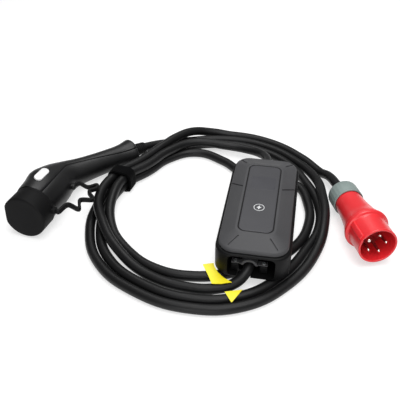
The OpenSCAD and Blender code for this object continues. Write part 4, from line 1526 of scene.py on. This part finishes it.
    def _insert(self) -> bpy.types.Object:
        """Spins the contact insert and sets a low collar round each pin.

        Returns:
            The dressed piece.
        """
        f, face = self.flange_x, self.flange_x + self.insert_t
        profile = fillet([(f, 0.0), (f, 24.9), (face - 0.4, 24.9, 0.4), (face, 24.2, 0.3), (face, 22.6, 0.3),
                          (face - 1.0, 22.2, 0.3), (face - 1.0, 20.6, 0.3), (face, 20.2, 0.3),
                          (face, 0.0)], 3)
        disc = lathe("plug_contact_insert", profile, 72)
        low, high = face - 1, face + 2.2
        collars: list[bpy.types.Object] = []
        for r, spots in ((self.earth_r, self.earth_spots), (self.pin_r, self.live_spots)):
            bore = r + 0.1
            profile = fillet([(low, bore), (high, bore, 0.2), (high, r + 1.5, 0.5), (low, r + 1.9),
                              (low, bore)], 3)
            collars += copies(lathe("collar", profile, 32), spots)
        piece = place(join(disc, collars), self.where @ self.roll)
        # the insert's darker red is painted shade of the sleeve's bottom
        return Dress("insert_red_painted_shade", "insert_dark_red", ("plug_insert",)).put_on(piece)

    def _contact(self, name: str, r: float, spots: Sequence[Matrix], node: str) -> bpy.types.Object:
        """Spins a contact pin with a rounded tip and sets one at each place.

        Args:
            name: the piece's name.
            r: the pin's radius.
            spots: its places round the plug's axis.
            node: the solid that the pins stand for.

        Returns:
            The dressed piece.
        """
        x, tip = self.flange_x - 10, self.flange_x + self.insert_t + self.pin_l
        slim = r - 0.15
        profile = fillet([(x, 0.0), (x, r), (tip - 6.0, r, 0.4), (tip - 5.6, slim, 0.3),
                          (tip - 2.2, slim, 1.4), (tip, r - 1.9, 1.2), (tip, 0.0)], 5)
        pins = copies(lathe(name, profile, 40), spots)
        piece = place(join(pins[0], pins[1:]), self.where @ self.roll)
        return Dress("nickel", "pin_nickel", (node,)).put_on(piece)


# Tie and tags


@dataclass
class CableTie:
    """Hook-and-loop tie round the strands, with its loose end lapped over."""

    angle_deg: float = 160.0
    radius: float = 157.5
    inside: Flat = (36.0, 33.0)
    corner_r: float = 9.0
    wall: float = 1.6
    width: float = 20.0
    lap_from: int = 8
    lap_to: int = 34

    def build(self) -> bpy.types.Object:
        """Makes the tie.

        Returns:
            The dressed piece.
        """
        half = self.width / 2
        loops = ((0.0, -half), (self.wall - 0.5, -half), (self.wall, -half + 0.6), (self.wall, half - 0.6),
                 (self.wall - 0.5, half), (0.0, half))
        rings = [self._loop(grow, side) for grow, side in loops]
        band = loft("cable_tie_band", rings + [rings[0]], False)
        path = self._loop(self.wall, 0.0)
        lap = [path[i % len(path)] for i in range(self.lap_from, self.lap_to)]
        thin, full, end_t = 0.1, 1.3, 0.7
        strips = []
        for i, spot in enumerate(lap):
            ahead, behind = lap[min(i + 1, len(lap) - 1)], lap[max(i - 1, 0)]
            run = Vector((ahead[0] - behind[0], ahead[1] - behind[1], 0.0)).normalized()
            out = Vector((run.y, -run.x, 0.0))
            under = spot[1] < -self.inside[1] / 2 - self.wall + 2.0
            thick = thin if under else full if i < len(lap) - 2 else end_t
            wide = half - 0.5 - (2.0 if i == len(lap) - 1 else 0.0)
            corners = ((-0.1, -wide), (thick, -wide + 0.4), (thick, wide - 0.4), (-0.1, wide))
            strips.append([tuple(Vector(spot) + out * u + Vector((0.0, 0.0, v))) for u, v in corners])
        flap = loft("flap", strips)
        angle = math.radians(self.angle_deg)
        spot = COIL + SHIFT + Vector((self.radius * math.cos(angle), self.radius * math.sin(angle),
                                      self.wall + 0.1 + self.inside[1] / 2))
        there = Matrix.Translation(spot) @ turned(self.angle_deg, "Z") @ turned(90.0, "X")
        piece = place(join(band, [flap]), there)
        return Dress("pile", "tie_fabric", ("cable_tie",), smooth_deg=45.0).put_on(piece)

    def _loop(self, grow: float, side: float) -> Ring:
        """Gives the tie's outline, grown outwards, at a place across its width."""
        w, h = self.inside[0] + 2 * grow, self.inside[1] + 2 * grow
        return [(x, y, side) for x, y, _ in rounded_rectangle(w, h, self.corner_r + grow, 0.0, 0.0, 9)]


@dataclass
class Tags:
    """Two blank yellow film tags on the strands in front of the box."""

    first: tuple[tuple[Point, Point, Point], ...] = (
        ((3.7, -166.4, 17.2), (11.4, -165.2, 17.5), (18.9, -163.9, 17.3)),
        ((5.6, -172.0, 17.0), (12.8, -171.6, 17.3), (20.0, -171.0, 17.0)),
        ((9.5, -182.8, 17.0), (16.8, -182.2, 17.2), (24.2, -181.5, 17.0)),
        ((12.6, -193.0, 17.0), (21.6, -192.4, 17.0), (31.0, -191.5, 17.6)),
        ((15.6, -203.5, 17.2), (28.0, -205.0, 18.6), (42.0, -206.3, 22.8)))
    second: tuple[tuple[Point, Point, Point], ...] = (
        ((32.4, -216.6, 15.6), (44.0, -214.8, 15.9), (56.0, -213.0, 15.8)),
        ((36.4, -225.6, 15.6), (42.4, -224.8, 15.9), (48.6, -224.0, 15.6)),
        ((40.2, -234.6, 15.4), (40.8, -234.7, 15.4), (41.4, -234.5, 15.4)))
    thick: float = 0.5

    def build(self) -> bpy.types.Object:
        """Makes both tags as one piece.

        Returns:
            The dressed piece.
        """
        films = [self._film("tag_films", self.first), self._film("tag", self.second)]
        piece = place(join(films[0], films[1:]), Matrix.Translation(SHIFT))
        return Dress("film", "tag_yellow", ("cable_tags",), smooth_deg=40.0).put_on(piece)

    def _film(self, name: str, rows: Sequence[tuple[Point, Point, Point]]) -> bpy.types.Object:
        """Lofts one thin film.

        Args:
            name: the piece's name.
            rows: left, middle and right points from its upper end to its lower end.

        Returns:
            The mesh piece.
        """
        rings = [[*row, *((x, y, z + self.thick) for x, y, z in row[::-1])] for row in rows]
        return loft(name, rings)


# Solids that stay


KEPT: dict[str, tuple[str, ...]] = {
    "shell": ("contact_carrier",),
    "brass": ("power_contacts", "pilot_contacts"),
    "zinc": ("shell_screws", "board_screws", "lid_screws"),
    "soft_rubber": ("box_gasket", "plug_seal"),
    "board": ("main_board",),
    "epoxy": ("relays", "current_sensor", "power_module", "terminal_block"),
}


def dress_kept(nodes: dict[str, bpy.types.Object]) -> None:
    """Gives the solids that stay their finishes.

    Args:
        nodes: the solids by name.
    """
    for finish, names in KEPT.items():
        for name in names:
            for place_in in nodes[name].material_slots:
                place_in.material = Finishes.get(finish)
            LOG.info("solid %s", name)


def main() -> None:
    """Builds the set in order."""
    logging.basicConfig(level=logging.INFO, format="%(name)s: %(message)s")
    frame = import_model()
    Stage().build()
    connector, box, plug = Connector(), ControlBox(), MainsPlug()
    cables = Cables(connector, box, plug)
    charge, supply = cables.build()
    connector.build()
    box.build()
    ends = plug.build()
    wraps = [CableTie().build(), Tags().build()]
    dress_kept(frame["nodes"])


if __name__ == "__main__":
    main()
